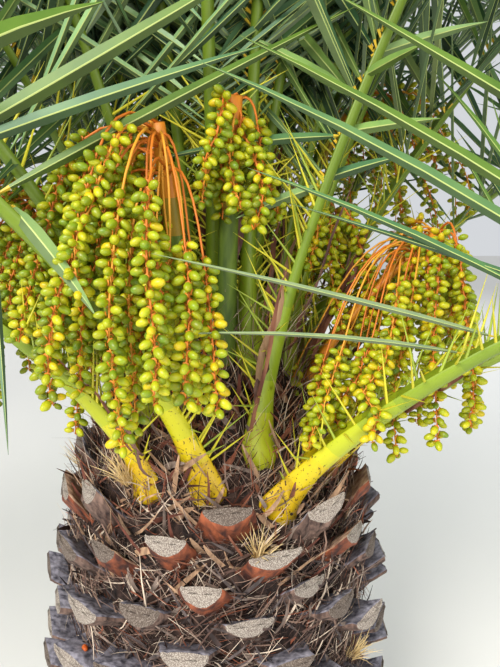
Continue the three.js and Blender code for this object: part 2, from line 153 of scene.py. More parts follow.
def cut_rings(thing, cuts):
    """Cuts the long upright edges of a cylinder or a cone, which makes rings."""
    pick(thing, lambda a, b: abs(a.z - b.z) > 0.5, "EDGE")
    bpy.ops.mesh.subdivide(number_cuts=cuts)


def pattern_of(thing):
    """The points and faces of a modelled pattern, as arrays; a face with three corners ends in -1."""
    start_fresh()
    mesh = thing.data
    points = np.array([v.co for v in mesh.vertices])
    faces = np.full((len(mesh.polygons), 4), -1)
    for k, face in enumerate(mesh.polygons):
        faces[k, : len(face.vertices)] = face.vertices
    bpy.data.objects.remove(thing)
    print("pattern with", len(points), "points and", len(faces), "faces")
    return points, faces


print("helpers for patterns:", [f.__name__ for f in (begin, pick, reshape, cut_rings, pattern_of)])

# %% [markdown]
# The copies of a pattern are joined into one mesh by array arithmetic, which is quick and keeps the number
# of objects small. Each copy has its own place, directions and sizes, and its faces are dealt a colour.
# Round stalks and ribs are tubes through a row of stations, made by the same arithmetic.
# %% Copies, tubes and pieces
def each(values):
    """One number for each copy, shaped so that it multiplies all points of that copy."""
    return values[:, None, None]


def split(points):
    """The x, y and z of a pattern's points, shaped so that each multiplies a direction of every copy."""
    return (points[None, :, k, None] for k in range(3))


def placed(place, *steps):
    """The points of all copies: from its own place, each goes some way along some directions of its own."""
    points = place[:, None]
    for way, reach in steps:
        points = points + way[:, None] * reach
    return points


def copies(faces, points, slots):
    """A part for piece(). There is one slot for all copies, for each copy or for each of its faces."""
    slots = np.asarray(slots)
    slots = np.broadcast_to(slots[:, None] if slots.ndim == 1 else slots, (len(points), len(faces)))
    steps = each(np.arange(len(points)) * (points[0].size // 3))
    faces = np.where(faces[None] >= 0, faces[None] + steps, -1).reshape(-1, 4)
    return points.reshape(-1, 3), faces, slots.ravel()


def tubes(centres, sides, ups, section, slots):
    """Closed tubes. section is [..., corner, 2]: how far each corner of a station lies to the side and up."""
    rows, stations = centres.shape[:2]
    corners = section.shape[-2]
    section = np.broadcast_to(section, (rows, stations, corners, 2))
    points = centres[:, :, None] + sides[:, :, None] * section[..., :1] + ups[:, :, None] * section[..., 1:]
    ring = np.arange(corners)
    following = (ring + 1) % corners
    wall = np.stack([ring, following, following + corners, ring + corners], -1)
    faces = [wall + k * corners for k in range(stations - 1)]
    inner = np.arange(1, corners - 1)
    last = (stations - 1) * corners
    gap = np.full(len(inner), -1)
    faces.append(np.stack([0 * inner, inner + 1, inner, gap], -1))
    faces.append(np.stack([0 * inner + last, last + inner, last + inner + 1, gap], -1))
    return copies(np.concatenate(faces), points, slots)


def ring_section(corners):
    turn = np.arange(corners) * 2 * np.pi / corners
    return np.stack([np.cos(turn), np.sin(turn)], -1)


def piece(name, parts, materials, slot, nodes):
    """Joins parts into one mesh and makes it a piece of the palm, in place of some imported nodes."""
    starts = np.cumsum([0] + [len(points) for points, _, _ in parts])
    points = np.concatenate([part[0] for part in parts])
    faces = [np.where(part[1] >= 0, part[1] + start, -1) for part, start in zip(parts, starts)]
    faces = np.concatenate(faces)
    slots = np.concatenate([part[2] for part in parts])
    corners = faces[faces >= 0]
    counts = (faces >= 0).sum(1)
    mesh = bpy.data.meshes.new(name)
    mesh.vertices.add(len(points))
    mesh.vertices.foreach_set("co", points.astype(np.float32).ravel())
    mesh.loops.add(len(corners))
    mesh.loops.foreach_set("vertex_index", corners.astype(np.int32))
    mesh.polygons.add(len(faces))
    mesh.polygons.foreach_set("loop_start", (np.cumsum(counts) - counts).astype(np.int32))
    mesh.polygons.foreach_set("material_index", slots.astype(np.int32))
    mesh.polygons.foreach_set("use_smooth", np.full(len(faces), True))
    for material in materials:
        mesh.materials.append(material)
    mesh.update(calc_edges=True)
    thing = bpy.data.objects.new(name, mesh)
    bpy.context.scene.collection.objects.link(thing)
    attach(thing, "root")
    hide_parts(*nodes)
    print(name, (counts - 2).sum(), "triangles")


print("helpers for pieces:", [f.__name__ for f in (placed, copies, tubes, piece)])

# %% [markdown]
# The photograph was taken standing between the fronds, just over a metre from the stem, looking a little
# down. The camera stands there too, with a wide lens. The light is a pale room with large soft lamps.
# %% Camera, light and floor
VIEW_SPOT = np.array([0.07, -1.05, 1.50])
VIEW_PITCH = 75
camera = bpy.data.objects.new("camera", bpy.data.cameras.new("camera"))
bpy.context.scene.collection.objects.link(camera)
camera.location = tuple(VIEW_SPOT)
camera.rotation_euler = (math.radians(VIEW_PITCH), 0, 0)
camera.data.sensor_width = 36
camera.data.lens = 28.25
camera.data.clip_start = 0.02
bpy.context.scene.camera = camera


def soft_lamp(name, place, target, size, power, colour):
    lamp = bpy.data.objects.new(name, bpy.data.lights.new(name, "AREA"))
    bpy.context.scene.collection.objects.link(lamp)
    lamp.data.shape = "SQUARE"
    lamp.data.size = size
    lamp.data.energy = power
    lamp.data.color = colour
    lamp.location = place
    lamp.rotation_euler = (Vector(target) - Vector(place)).to_track_quat("-Z", "Y").to_euler()


soft_lamp("key_lamp", (-2.6, -4.2, 5.2), (0, 0, 1.5), 2.4, 500, (1, 0.97, 0.92))
soft_lamp("fill_lamp", (1.2, -2.4, 1.3), (0, -0.2, 1.1), 1.6, 22, (1, 0.98, 0.95))
soft_lamp("rim_lamp", (3.5, 4.5, 5.0), (0, 0, 2.0), 3.0, 220, (0.92, 0.96, 1))

world = bpy.data.worlds.new("pale_room")
world.use_nodes = True
world.node_tree.nodes["Background"].inputs["Color"].default_value = (0.93, 0.96, 1.0, 1)
world.node_tree.nodes["Background"].inputs["Strength"].default_value = 0.71
bpy.context.scene.world = world
bpy.context.scene.view_settings.view_transform = "Standard"

start_fresh()
bpy.ops.mesh.primitive_plane_add(size=24, location=(0, 0, -0.002))
floor = bpy.context.object
floor.name = "floor"
print("camera at", tuple(round(v, 2) for v in camera.location))

# %% [markdown]
# Bark, cut wood and petioles share a few effects: a fibrous grain that runs one way, dark specks and
# a slow change of tone. Each is a node group, built once, and every material sets its own values.
# %% Shared effects
def effect(name, inputs, outputs):
    """A new node group of numbers: inputs with their usual values, and outputs."""
    group = bpy.data.node_groups.new(name, "ShaderNodeTree")
    for label, value in inputs.items():
        socket = group.interface.new_socket(label, in_out="INPUT", socket_type="NodeSocketFloat")
        socket.default_value = value
    for label in outputs:
        group.interface.new_socket(label, in_out="OUTPUT", socket_type="NodeSocketFloat")
    return group, group.nodes.new("NodeGroupInput"), group.nodes.new("NodeGroupOutput")


def feed(group, value, socket):
    """Sets a socket to a number, or joins another node's output to it."""
    if isinstance(value, float):
        socket.default_value = value
    else:
        group.links.new(value, socket)


def add_noise(group, scale_from, detail, stretch):
    place = group.nodes.new("ShaderNodeTexCoord")
    mapping = group.nodes.new("ShaderNodeMapping")
    mapping.inputs["Scale"].default_value = stretch
    noise = group.nodes.new("ShaderNodeTexNoise")
    noise.inputs["Detail"].default_value = detail
    group.links.new(place.outputs["Object"], mapping.inputs["Vector"])
    group.links.new(mapping.outputs["Vector"], noise.inputs["Vector"])
    group.links.new(scale_from, noise.inputs["Scale"])
    return noise.outputs["Fac"]


def ramp_between(group, value, low, high):
    ramp = group.nodes.new("ShaderNodeMapRange")
    for label, source in (("Value", value), ("From Min", low), ("From Max", high)):
        feed(group, source, ramp.inputs[label])
    return ramp.outputs["Result"]


def arithmetic(group, operation, first, second):
    node = group.nodes.new("ShaderNodeMath")
    node.operation = operation
    feed(group, first, node.inputs[0])
    feed(group, second, node.inputs[1])
    return node.outputs[0]


grain, grain_in, grain_out = effect("fibrous_grain", {"Scale": 60.0}, ["Mask", "Height"])
fine = add_noise(grain, grain_in.outputs["Scale"], 6, (1, 1, 0.16))
grain.links.new(ramp_between(grain, fine, 0.35, 0.68), grain_out.inputs["Mask"])
grain.links.new(fine, grain_out.inputs["Height"])

tone, tone_in, tone_out = effect("slow_tone", {"Scale": 6.0}, ["Mask"])
slow = add_noise(tone, tone_in.outputs["Scale"], 3, (1, 1, 1))
tone.links.new(ramp_between(tone, slow, 0.36, 0.64), tone_out.inputs["Mask"])

specks, specks_in, specks_out = effect("dark_specks", {"Scale": 260.0, "Amount": 0.3}, ["Mask"])
spots = add_noise(specks, specks_in.outputs["Scale"], 2, (1, 1, 0.7))
threshold = arithmetic(specks, "SUBTRACT", 0.78, specks_in.outputs["Amount"])
edge = arithmetic(specks, "ADD", threshold, 0.05)
specks.links.new(ramp_between(specks, spots, threshold, edge), specks_out.inputs["Mask"])
print("effects", [g.name for g in (grain, tone, specks)])

# %% [markdown]
# A material here starts from one base colour and adds only what the real surface shows.
# A leaflet or a date stays nearly one plain colour, because its neighbours differ from it.
# Wood and petioles mix a second colour in by the grain or the specks, and a bump lifts their fibres.
# %% Materials from a base colour
BUMP_DISTANCE = 0.002


def hue(colour):
    """A colour as the eye reads it, from 0 to 255, made linear for the shader."""
    return tuple((v / 255) ** 2.2 for v in colour) + (1,)


def shaded(colour, factor):
    return tuple(v * factor for v in colour)


def surface(name, base, rough, second=None, by=None, scale=60, amount=0.3, bump=0, bump_scale=120, shine=0.5):
    material = bpy.data.materials.new(name)
    material.use_nodes = True
    nodes, links = material.node_tree.nodes, material.node_tree.links
    shader = nodes["Principled BSDF"]
    shader.inputs["Roughness"].default_value = rough
    shader.inputs["Specular IOR Level"].default_value = shine
    shader.inputs["Base Color"].default_value = material.diffuse_color = hue(base)
    if second is not None:
        use = nodes.new("ShaderNodeGroup")
        use.node_tree = by
        use.inputs["Scale"].default_value = scale
        if "Amount" in use.inputs:
            use.inputs["Amount"].default_value = amount
        blend = nodes.new("ShaderNodeMix")
        blend.data_type = "RGBA"
        blend.inputs["A"].default_value = hue(base)
        blend.inputs["B"].default_value = hue(second)
        links.new(use.outputs["Mask"], blend.inputs["Factor"])
        links.new(blend.outputs["Result"], shader.inputs["Base Color"])
    if bump:
        relief = nodes.new("ShaderNodeGroup")
        relief.node_tree = grain
        relief.inputs["Scale"].default_value = bump_scale
        lift = nodes.new("ShaderNodeBump")
        lift.inputs["Strength"].default_value = bump
        lift.inputs["Distance"].default_value = BUMP_DISTANCE
        links.new(relief.outputs["Height"], lift.inputs["Height"])
        links.new(lift.outputs["Normal"], shader.inputs["Normal"])
    return material


floor.data.materials.append(surface("pale_floor", (226, 224, 219), 0.85))
print("floor colour", [round(v, 2) for v in hue((226, 224, 219))])

# %% [markdown]
# The stem under its leaf bases is a mat of brown fibre over dark wood, painted darker than the fibre itself
# as a painted shade for the deep gaps between the leaf bases.
# It starts as a cylinder whose upright edges are cut many times, and each ring is then drawn in or out
# to the stem's measured radius, with a shaggy relief. It goes on up as the heart that carries the fronds.
# %% The stem's own shape
STEM_TOP = 1.39
STEM_SIDES = 160
STEM_CUTS = 110
MAT_THICKNESS = 0.020
MAT_RELIEF = 0.016
STEM_HEIGHTS = np.array([0, 110, 400, 760, 900, 1000, 1100, 1220, 1390]) / 1000
STEM_RADII = np.array([352, 306, 286, 282, 262, 222, 172, 124, 34]) / 1000


def stem_radius(height):
    return np.interp(height, STEM_HEIGHTS, STEM_RADII)


def on_stem(turn, height, outwards):
    """A point at a turn round the stem, in degrees, and at a height, standing off its surface."""
    level = direction(turn, 0.0) * (stem_radius(height) + outwards)[..., None]
    level[..., 2] = height
    return level


def shaggy(turn, height):
    """A relief from -1 to 1 that runs round the stem without a seam."""
    waves = [(5, 9.0), (9, -17.0), (14, 23.0), (23, 41.0), (37, -67.0), (60, 90.0)]
    total = 0.0
    for k, (around, upright) in enumerate(waves):
        total = total + np.sin(around * turn + upright * height * 6.0 + k * 1.7) / (1.4 + 0.5 * k)
    return total / 2.2


stem = begin(
    bpy.ops.mesh.primitive_cylinder_add,
    vertices=STEM_SIDES, radius=1, depth=STEM_TOP, location=(0, 0, STEM_TOP / 2),
)
cut_rings(stem, STEM_CUTS)
start_fresh()
points = np.array([v.co for v in stem.data.vertices])
turn, height = np.arctan2(points[:, 1], points[:, 0]), points[:, 2]
lift = np.clip(height / 0.02, 0, 1) * np.clip((STEM_TOP - height) / 0.3, 0.25, 1)
radius = stem_radius(height) + (MAT_THICKNESS + MAT_RELIEF * shaggy(turn, height)) * lift
points[:, 0] = np.cos(turn) * radius
points[:, 1] = np.sin(turn) * radius
stem.data.vertices.foreach_set("co", points.astype(np.float32).ravel())
stem.data.update()
stem.name = stem.data.name = "stem"
stem.data.polygons.foreach_set("use_smooth", [True] * len(stem.data.polygons))
# The mat's two browns are darker than its fibre: painted shade for the gaps between the leaf bases.
stem.data.materials.append(
    surface("fibre_mat_and_painted_shade", (22, 16, 15), 0.95, (74, 56, 49), grain, 80, bump=1.0, bump_scale=90)
)
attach(stem, "root")
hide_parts("trunk")
print("stem", len(stem.data.vertices), "points")

# %% [markdown]
# Every old frond was cut off a hand's breadth from the stem and left its base.
# The base is flat above and rounded below, wide at its root, and its cut face is pale and full of pores.
# One base is modelled from a cylinder: squeezed flat above, cut into rings, its end inset for the rim.
# %% One cut leaf base
stub = begin(
    bpy.ops.mesh.primitive_cylinder_add,
    vertices=22, radius=0.5, depth=1, end_fill_type="NGON", location=(0, 0, 0.5),
)
cut_rings(stub, 7)
reshape(stub, lambda p: p.y > 0.02, (1, 0.30, 1))
reshape(stub, lambda p: p.y < -0.02, (1, 0.96, 1))
reshape(stub, lambda p: p.y < -0.20, (0.84, 1, 1))
reshape(stub, lambda p: p.y < -0.40, (0.86, 1.04, 1))
reshape(stub, lambda p: abs(p.x) > 0.40, shift=(0, 0.07, 0))
pick(stub, lambda normal: normal.z > 0.9, "FACE")
bpy.ops.mesh.inset(thickness=0.04, depth=0.0)
bpy.ops.mesh.inset(thickness=0.14, depth=-0.010)
bpy.ops.mesh.poke()
pick(stub, lambda normal: normal.z < -0.9, "FACE")
bpy.ops.mesh.delete(type="FACE")
start_fresh()
stub_normals = np.array([face.normal for face in stub.data.polygons])
stub_points, stub_faces = pattern_of(stub)
is_cut = stub_normals[:, 2] > 0.9
is_top = (stub_normals[:, 1] > 0.6) & ~is_cut
print("cut faces", is_cut.sum(), "upper faces", is_top.sum())

# %% [markdown]
# The bases stand on the golden spiral from the foot of the stem to the crown, low ones nearly level and
# high ones steep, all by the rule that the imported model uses. Old bases are weathered grey above, and their
# upper side has shrunk, so it slopes down towards the cut. The youngest, near the crown, are still brown and
# red where the sheath was torn off. Some cut faces have turned grey.
# %% Cut leaf bases up the stem
STUB_COUNT = 152
STUB_DEPTH = 0.060
STUB_LENGTH = 0.136
OLD_SHARE = 0.84
CUT_END = 0.98
stubs = np.arange(STUB_COUNT)
stub_share = stubs / (STUB_COUNT - 1)
turn = -30 - (STUB_COUNT - stubs) * GOLDEN_TURN
rise = mix(20, 50, stub_share * stub_share) + 8 * (chance(stubs, 1) - 0.5)
heading = turn + 10 * (chance(stubs, 2) - 0.5)
stub_along = direction(heading, rise)
stub_side, stub_up = across(stub_along)
stub_cut = direction(heading + 44 * (chance(stubs, 8) - 0.5), rise * 0.35)
stub_root = on_stem(turn, mix(0.062, 0.905, stub_share), np.full(STUB_COUNT, -STUB_DEPTH))
stub_reach = STUB_DEPTH + STUB_LENGTH * mix(1, 0.60, stub_share**2) * between(0.84, 1.1, stubs, 3)

x, y, z = split(stub_points)
wide = mix(0.176, 0.082, z**0.7) * each(between(0.84, 1.12, stubs, 5))
deep = mix(0.096, 0.047, z) * each(between(0.84, 1.16, stubs, 6))
ragged = 0.5 * np.sin(9 * x + 5 * z + each(stubs)) + 0.5 * np.sin(23 * x - 31 * z + 2.1 * each(stubs))
dip = -0.010 * np.sin(np.pi * np.clip(z, 0, 1)) * (y > 0)
slope = 0.044 * each(np.clip((OLD_SHARE - stub_share) / 0.2, -0.2, 1)) * (1 - z)
stub_at = placed(
    stub_root,
    (stub_along, z * each(stub_reach)),
    (stub_side, x * wide + 0.0025 * ragged),
    (stub_up, y * deep + slope + dip + 0.003 * ragged * (z < 0.97)),
)
ends = (stub_root + stub_along * stub_reach[:, None])[:, None]
lean = dot(stub_at - ends, stub_cut[:, None]) / dot(stub_along, stub_cut)[:, None]
stub_at = stub_at - stub_along[:, None] * (lean - 0.004 * (z < 0.999) * (z > CUT_END)) * (z > CUT_END)

TOP, FLANK, CUT, YOUNG_TOP, YOUNG_FLANK, GREY_CUT = range(6)
stub_materials = [
    surface("weathered_top", (64, 62, 72), 0.9, (156, 152, 164), grain, 80, bump=1.0),
    surface("brown_flank", (52, 38, 35), 0.9, (134, 108, 96), grain, 100, bump=1.0),
    surface("pale_cut", (178, 168, 156), 0.9, (122, 110, 102), specks, 760, 0.33, bump=0.5, bump_scale=420),
    surface("young_top", (120, 88, 72), 0.85, (186, 154, 128), grain, 80, bump=1.0),
    surface("young_flank", (64, 34, 28), 0.75, (160, 86, 54), grain, 60, bump=1.0),
    surface("grey_cut", (134, 122, 112), 0.9, (92, 80, 72), specks, 620, 0.36, bump=0.5, bump_scale=420),
]
kind = np.where(is_cut, CUT, np.where(is_top, TOP, FLANK))[None]
young = (stub_share > OLD_SHARE) & (chance(stubs, 7) < 0.66)
slots = np.where(young[:, None] & (kind < CUT), np.where(kind == TOP, YOUNG_TOP, YOUNG_FLANK), kind)
slots = np.where((chance(stubs, 9) < 0.45)[:, None] & (kind == CUT), GREY_CUT, slots)
piece("cut_leaf_bases", [copies(stub_faces, stub_at, slots)], stub_materials, "bark", ["trunk"])

# %% [markdown]
# Each frond leaves a torn net of fibre behind. It hangs between the cut bases in a shaggy mat, and it is
# what makes the stem look soft and brown from afar. A fibre is a ribbon of three short faces.
# %% Fibres between the leaf bases
def ribbons(base, along, facing, bend, length, width, slots):
    """A part of flat ribbons with four stations each, which curl by the bend over their length."""
    rows = np.array([0.0, 0.36, 0.7, 1.0])[None, :, None]
    taper = np.array([0.9, 1.0, 0.8, 0.25])[None, :, None]
    middle = base[:, None] + along[:, None] * rows * each(length) + bend[:, None] * rows**2
    half = unit(np.cross(along, facing))[:, None] * taper * each(width) / 2
    points = np.stack([middle - half, middle + half], 2)
    return copies(np.array([[0, 1, 3, 2], [2, 3, 5, 4], [4, 5, 7, 6]]), points, slots)


def random_units(index, salt):
    z = 2 * chance(index, salt) - 1
    turn = 2 * np.pi * chance(index, salt + 1)
    level = np.sqrt(1 - z * z)
    return np.stack([level * np.cos(turn), level * np.sin(turn), z], -1)


def either_way(index, salt):
    return np.where(chance(index, salt) < 0.5, -1, 1)[:, None]


FIBRES = 29000
FIBRE_COLOURS = [(140, 114, 100), (92, 70, 62), (216, 196, 174), (44, 33, 31), (150, 86, 62)]
k = np.arange(FIBRES)
turn = 360 * chance(k, 31)
height = between(0.015, 1.06, k, 32)
base = on_stem(turn, height, between(0.010, 0.046, k, 33, 1.6) * np.clip((1.12 - height) / 0.25, 0.3, 1))
outward = direction(turn, 0.0)
level = np.cross(UP, outward)
slant = np.radians(between(-75, 75, k, 34))[:, None]
along = level * np.cos(slant) * either_way(k, 35) + UP * (0.25 + np.sin(slant)) + outward * 0.16
along = unit(along)
length = between(0.03, 0.12, k, 36, 2)
length = np.where(base[:, 2] + along[:, 2] * length < 0.01, 0.02, length)
bend = random_units(k, 37) * length[:, None] * 0.35 - outward * (length**2)[:, None] * 2.6
bend[:, 2] = np.maximum(bend[:, 2], 0.004 - base[:, 2] - np.minimum(along[:, 2] * length, 0))
width = between(0.0008, 0.0040, k, 39, 3)
dealt = np.digitize(chance(k, 41), [0.34, 0.6, 0.78, 0.92])
fibres = ribbons(base, along, random_units(k, 40), bend, length, width, dealt)
fibre_materials = [surface(f"fibre_{n}", colour, 0.85) for n, colour in enumerate(FIBRE_COLOURS)]
piece("stem_fibres", [fibres], fibre_materials, "bark", ["trunk"])

# %% [markdown]
# Between the feet of the fronds the fibres stand up, longer and looser than on the stem.
# %% Fibres in the crown
CROWN_FIBRES = 2800
k = np.arange(CROWN_FIBRES)
height = between(0.94, 1.25, k, 42)
base = on_stem(360 * chance(k, 43), height, between(0.0, 0.03, k, 44))
outward = unit(base * np.array([1, 1, 0]))
along = unit(outward * 0.35 + UP + random_units(k, 45) * 0.55)
length = between(0.04, 0.13, k, 47, 1.6)
bend = random_units(k, 48) * length[:, None] * 0.3
width = between(0.0007, 0.0022, k, 49, 2)
dealt = np.digitize(chance(k, 50), [0.4, 0.5, 0.75, 0.79])
crown_fibres = ribbons(base, along, random_units(k, 40), bend, length, width, dealt)
print("crown fibres from", height.min().round(2), "to", height.max().round(2), "m")

# %% [markdown]
# The sheaths also tear into broad papery shreds. They cling to the stem beside the leaf bases,
# grey and brown below, and rust red to straw coloured round the feet of the fronds.
# %% Papery shreds
SHREDS = 3600
SHRED_COLOURS = [(108, 96, 94), (78, 62, 58), (152, 132, 120), (150, 92, 68), (190, 152, 120), (112, 64, 50)]
RUSTY_HEIGHT = 0.86
k = np.arange(SHREDS)
height = between(0.03, 1.16, k, 131, 0.8)
turn = 360 * chance(k, 132)
base = on_stem(turn, height, between(0.004, 0.040, k, 133) * np.clip((1.16 - height) / 0.2, 0.2, 1))
outward = direction(turn, 0.0)
level = np.cross(UP, outward) * either_way(k, 134)
along = level * between(0.2, 1.0, k, 135)[:, None] + UP * 0.75 + outward * between(0.15, 0.6, k, 136)[:, None]
along = unit(along)
length = between(0.03, 0.10, k, 137)
bend = random_units(k, 138) * length[:, None] * 0.25 - outward * 0.012
width = between(0.003, 0.013, k, 141, 2)
low_kind = np.digitize(chance(k, 143), [0.4, 0.78])
high_kind = 2 + np.digitize(chance(k, 143), [0.2, 0.42, 0.84])
kind = np.where(height + 0.16 * (chance(k, 144) - 0.5) > RUSTY_HEIGHT, high_kind, low_kind)
first_shred = len(fibre_materials) + 1
shreds = ribbons(
    base, along, outward + 0.5 * random_units(k, 142), bend, length, width, kind + first_shred
)
shred_materials = [
    surface(f"shred_{n}", colour, 0.85, shaded(colour, 0.6), grain, 90, bump=0.5)
    for n, colour in enumerate(SHRED_COLOURS)
]
print("rusty shreds", (kind > 2).sum(), "of", SHREDS)

# %% [markdown]
# Here and there a sheath has split into a tuft of pale straw that stands out of the mat.
# A tuft is given by its turn round the stem, its height and the length of its straws.
# %% Straw tufts
TUFTS = [(-74, 0.900, 0.09), (-124, 1.00, 0.09), (-30, 0.56, 0.08), (20, 0.97, 0.10), (75, 0.90, 0.10)]
TUFTS += [(130, 0.98, 0.11), (170, 0.86, 0.10), (-12, 0.98, 0.10), (100, 0.66, 0.08)]
STRAWS = 50
k = np.arange(len(TUFTS) * STRAWS)
turn, height, long = np.array(TUFTS)[k // STRAWS].T
base = on_stem(turn + 3 * (chance(k, 51) - 0.5), height, between(0.03, 0.05, k, 52))
along = unit(direction(turn, 0.0) * 0.6 + UP * 1.1 + random_units(k, 53) * 0.38)
length = long * between(0.5, 1.0, k, 55)
width = between(0.0012, 0.0024, k, 58)
bend = random_units(k, 56) * 0.02
tufts = ribbons(base, along, random_units(k, 59), bend, length, width, len(fibre_materials))
straw = surface("straw", (222, 196, 142), 0.8)
loose_materials = fibre_materials + [straw] + shred_materials
piece("shreds_and_tufts", [crown_fibres, shreds, tufts], loose_materials, "bark", ["trunk"])

# %% [markdown]
# The fronds go on up the same spiral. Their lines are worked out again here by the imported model's rule:
# each leaves the heart at its seat, steeply, and bends over towards its tip under its own weight.
# A few near ones stand where the photograph shows them, and four places are bare where fronds were cut.
# %% Where the fronds go
FROND_COUNT = 42
LINE_SHARES = np.linspace(0, 1, 49)
PETIOLE_LENGTH = 0.56
INNER_PETIOLE_LENGTH = 0.25
PETIOLE_WIDTH = 0.032
INNER_PETIOLE_WIDTH = 0.020
SEAT_DEPTH = 0.014
TIP_WIDTH = 0.009
SET_FRONDS = {
    0: dict(seat_turn=-61, seat=0.985, heading=-22, rise=47, bend=1.1, foot_width=0.096),
    2: dict(seat_turn=-86, seat=1.010, heading=-155, rise=66, tip_rise=-20, bend=1, foot_width=0.084),
    7: dict(seat_turn=-117, seat=1.000, heading=-158, rise=64, tip_rise=-44, bend=0.8, foot_width=0.070),
    8: dict(seat_turn=-27, seat=0.968, heading=-8, rise=47, tip_rise=-40, bend=0.8, foot_width=0.050),
    9: dict(rise=57),
    15: dict(heading=-140),
    16: dict(seat_turn=-8, heading=16, rise=63, tip_rise=0),
    17: dict(rise=70, tip_rise=-8),
    18: dict(seat_turn=-72, seat=1.070, heading=-5, rise=76, tip_rise=30, foot_width=0.086,
             petiole_width=0.026, green=0.15),
    20: dict(rise=75),
    21: dict(heading=20, rise=74),
    26: dict(heading=-76, rise=88, tip_rise=0),
    31: dict(rise=82, tip_rise=-20, bend=1.1),
}
CUT_FRONDS = [5, 10, 13, 23]
YELLOW_FRONDS = 9
FIRST_INNER_FROND = 14


def seat_on_heart(facts):
    return on_stem(np.array(facts["seat_turn"], float), np.array(facts["seat"]), np.array(-SEAT_DEPTH))


def frond_facts(index):
    share = index / (FROND_COUNT - 1)
    turn = -30 + index * GOLDEN_TURN
    young = max(0.0, (share - 0.82) / 0.18)
    facts = {
        "index": index,
        "seat_turn": turn,
        "heading": turn,
        "seat": mix(1.005, 1.345, share),
        "rise": mix(48, 87, share**0.8),
        "tip_rise": mix(-48, 68, share**1.15),
        "length": mix(2.9, 1.9, young) * between(0.95, 1.05, index, 11),
        "bend": mix(0.95, 1.35, share),
        "sway": 16 * (chance(index, 12) - 0.5),
        "twist": 50 * (chance(index, 13) - 0.5),
        "petiole": mix(PETIOLE_LENGTH, INNER_PETIOLE_LENGTH, share),
        "foot_width": mix(1, 0.5, share) * 0.088,
        "petiole_width": mix(PETIOLE_WIDTH, INNER_PETIOLE_WIDTH, min(1.0, share * 1.6)),
    }
    facts.update(SET_FRONDS.get(index, {}))
    facts["line"] = frond_line(facts)
    return facts


def frond_line(facts):
    """The points of a frond's line, the way it runs at each and how far it is twisted there."""
    step = facts["length"] / (len(LINE_SHARES) - 1)
    rise = mix(facts["rise"], facts["tip_rise"], LINE_SHARES ** facts["bend"])
    along = direction(facts["heading"] + facts["sway"] * LINE_SHARES, rise)
    points = seat_on_heart(facts) + np.concatenate([np.zeros((1, 3)), np.cumsum(along[:-1] * step, 0)])
    return points, along, np.radians(facts["twist"]) * LINE_SHARES


def on_rib(frond, share):
    """At some shares of a frond's length: its line's spot, the way it runs, and the two ways across it."""
    share = np.clip(share, 0, 1)
    points, ways, twist = frond["line"]
    read = lambda rows: np.stack([np.interp(share, LINE_SHARES, rows[:, k]) for k in range(3)], -1)
    along = unit(read(ways))
    return read(points), along, *across(along, np.interp(share, LINE_SHARES, twist))


def rib_width(frond, distance):
    petiole = np.clip(distance / frond["petiole"], 0, 1)
    blade = np.maximum(distance - frond["petiole"], 0) / (frond["length"] - frond["petiole"])
    foot = mix(frond["foot_width"], frond["petiole_width"], np.minimum(1, petiole * 1.2) ** 0.5)
    return mix(foot, TIP_WIDTH, blade**0.85)


fronds = [frond_facts(index) for index in range(FROND_COUNT) if index not in CUT_FRONDS]
frond_nodes = [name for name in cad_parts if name.startswith("frond_")]
print(len(fronds), "fronds for", len(frond_nodes), "nodes")

# %% [markdown]
# A frond's stalk is yellow and broad at its foot, greener higher up, and becomes a thin three-sided rib
# that runs to the tip. Below its seat the foot rounds off, red-brown, into the mat that it grew from.
# The stalk is channelled above and keeled below. One closed tube with fourteen corners follows each line.
# Its colours are dealt out in short steps from the foot, so they never slide. The inner stalks start
# further up the row of colours, because they are green from the foot.
# %% Frond stalks and ribs
RIB_STATIONS = 64
RIB_CORNERS = 14
FOOT_DEPTHS = np.array([-0.052, -0.042, -0.024, -0.010])
FOOT_SIZES = np.array([0.35, 0.70, 0.93, 1.0])
INNER_FOOT = 1.6
RED_BELOW = -0.045
SWELLING = 0.26
SWELLING_REACH = 0.10
# Where each colour starts, in metres from the seat, the colour, and how dark the specks on it are.
RIB_STEPS = [
    (-1.0, (112, 60, 34), 0.30),
    (0.00, (208, 172, 18), 0.17),
    (0.06, (216, 192, 20), 0.16),
    (0.11, (198, 194, 28), 0.12),
    (0.15, (176, 184, 34), 0.08),
    (0.20, (148, 166, 36), 0.05),
    (0.27, (128, 150, 36), 0.05),
    (0.40, (116, 140, 36), 0.05),
    (0.58, (106, 130, 36), 0.04),
    (0.90, (86, 114, 38), 0.02),
]


def rib_section(width):
    """Corners of the rib's section: a shallow channel above and a rounded keel below."""
    turn = np.arange(RIB_CORNERS) * 2 * np.pi / RIB_CORNERS
    sideways = 0.5 * np.sign(np.cos(turn)) * np.abs(np.cos(turn)) ** 0.8
    above = np.where(np.sin(turn) > 0, 0.10 * np.sin(turn) - 0.16 * np.sin(turn) ** 3, 0)
    below = np.where(np.sin(turn) < 0, -0.60 * np.abs(np.sin(turn)) ** 1.1, 0)
    return np.stack([sideways, above + below], -1)[None] * each(width)


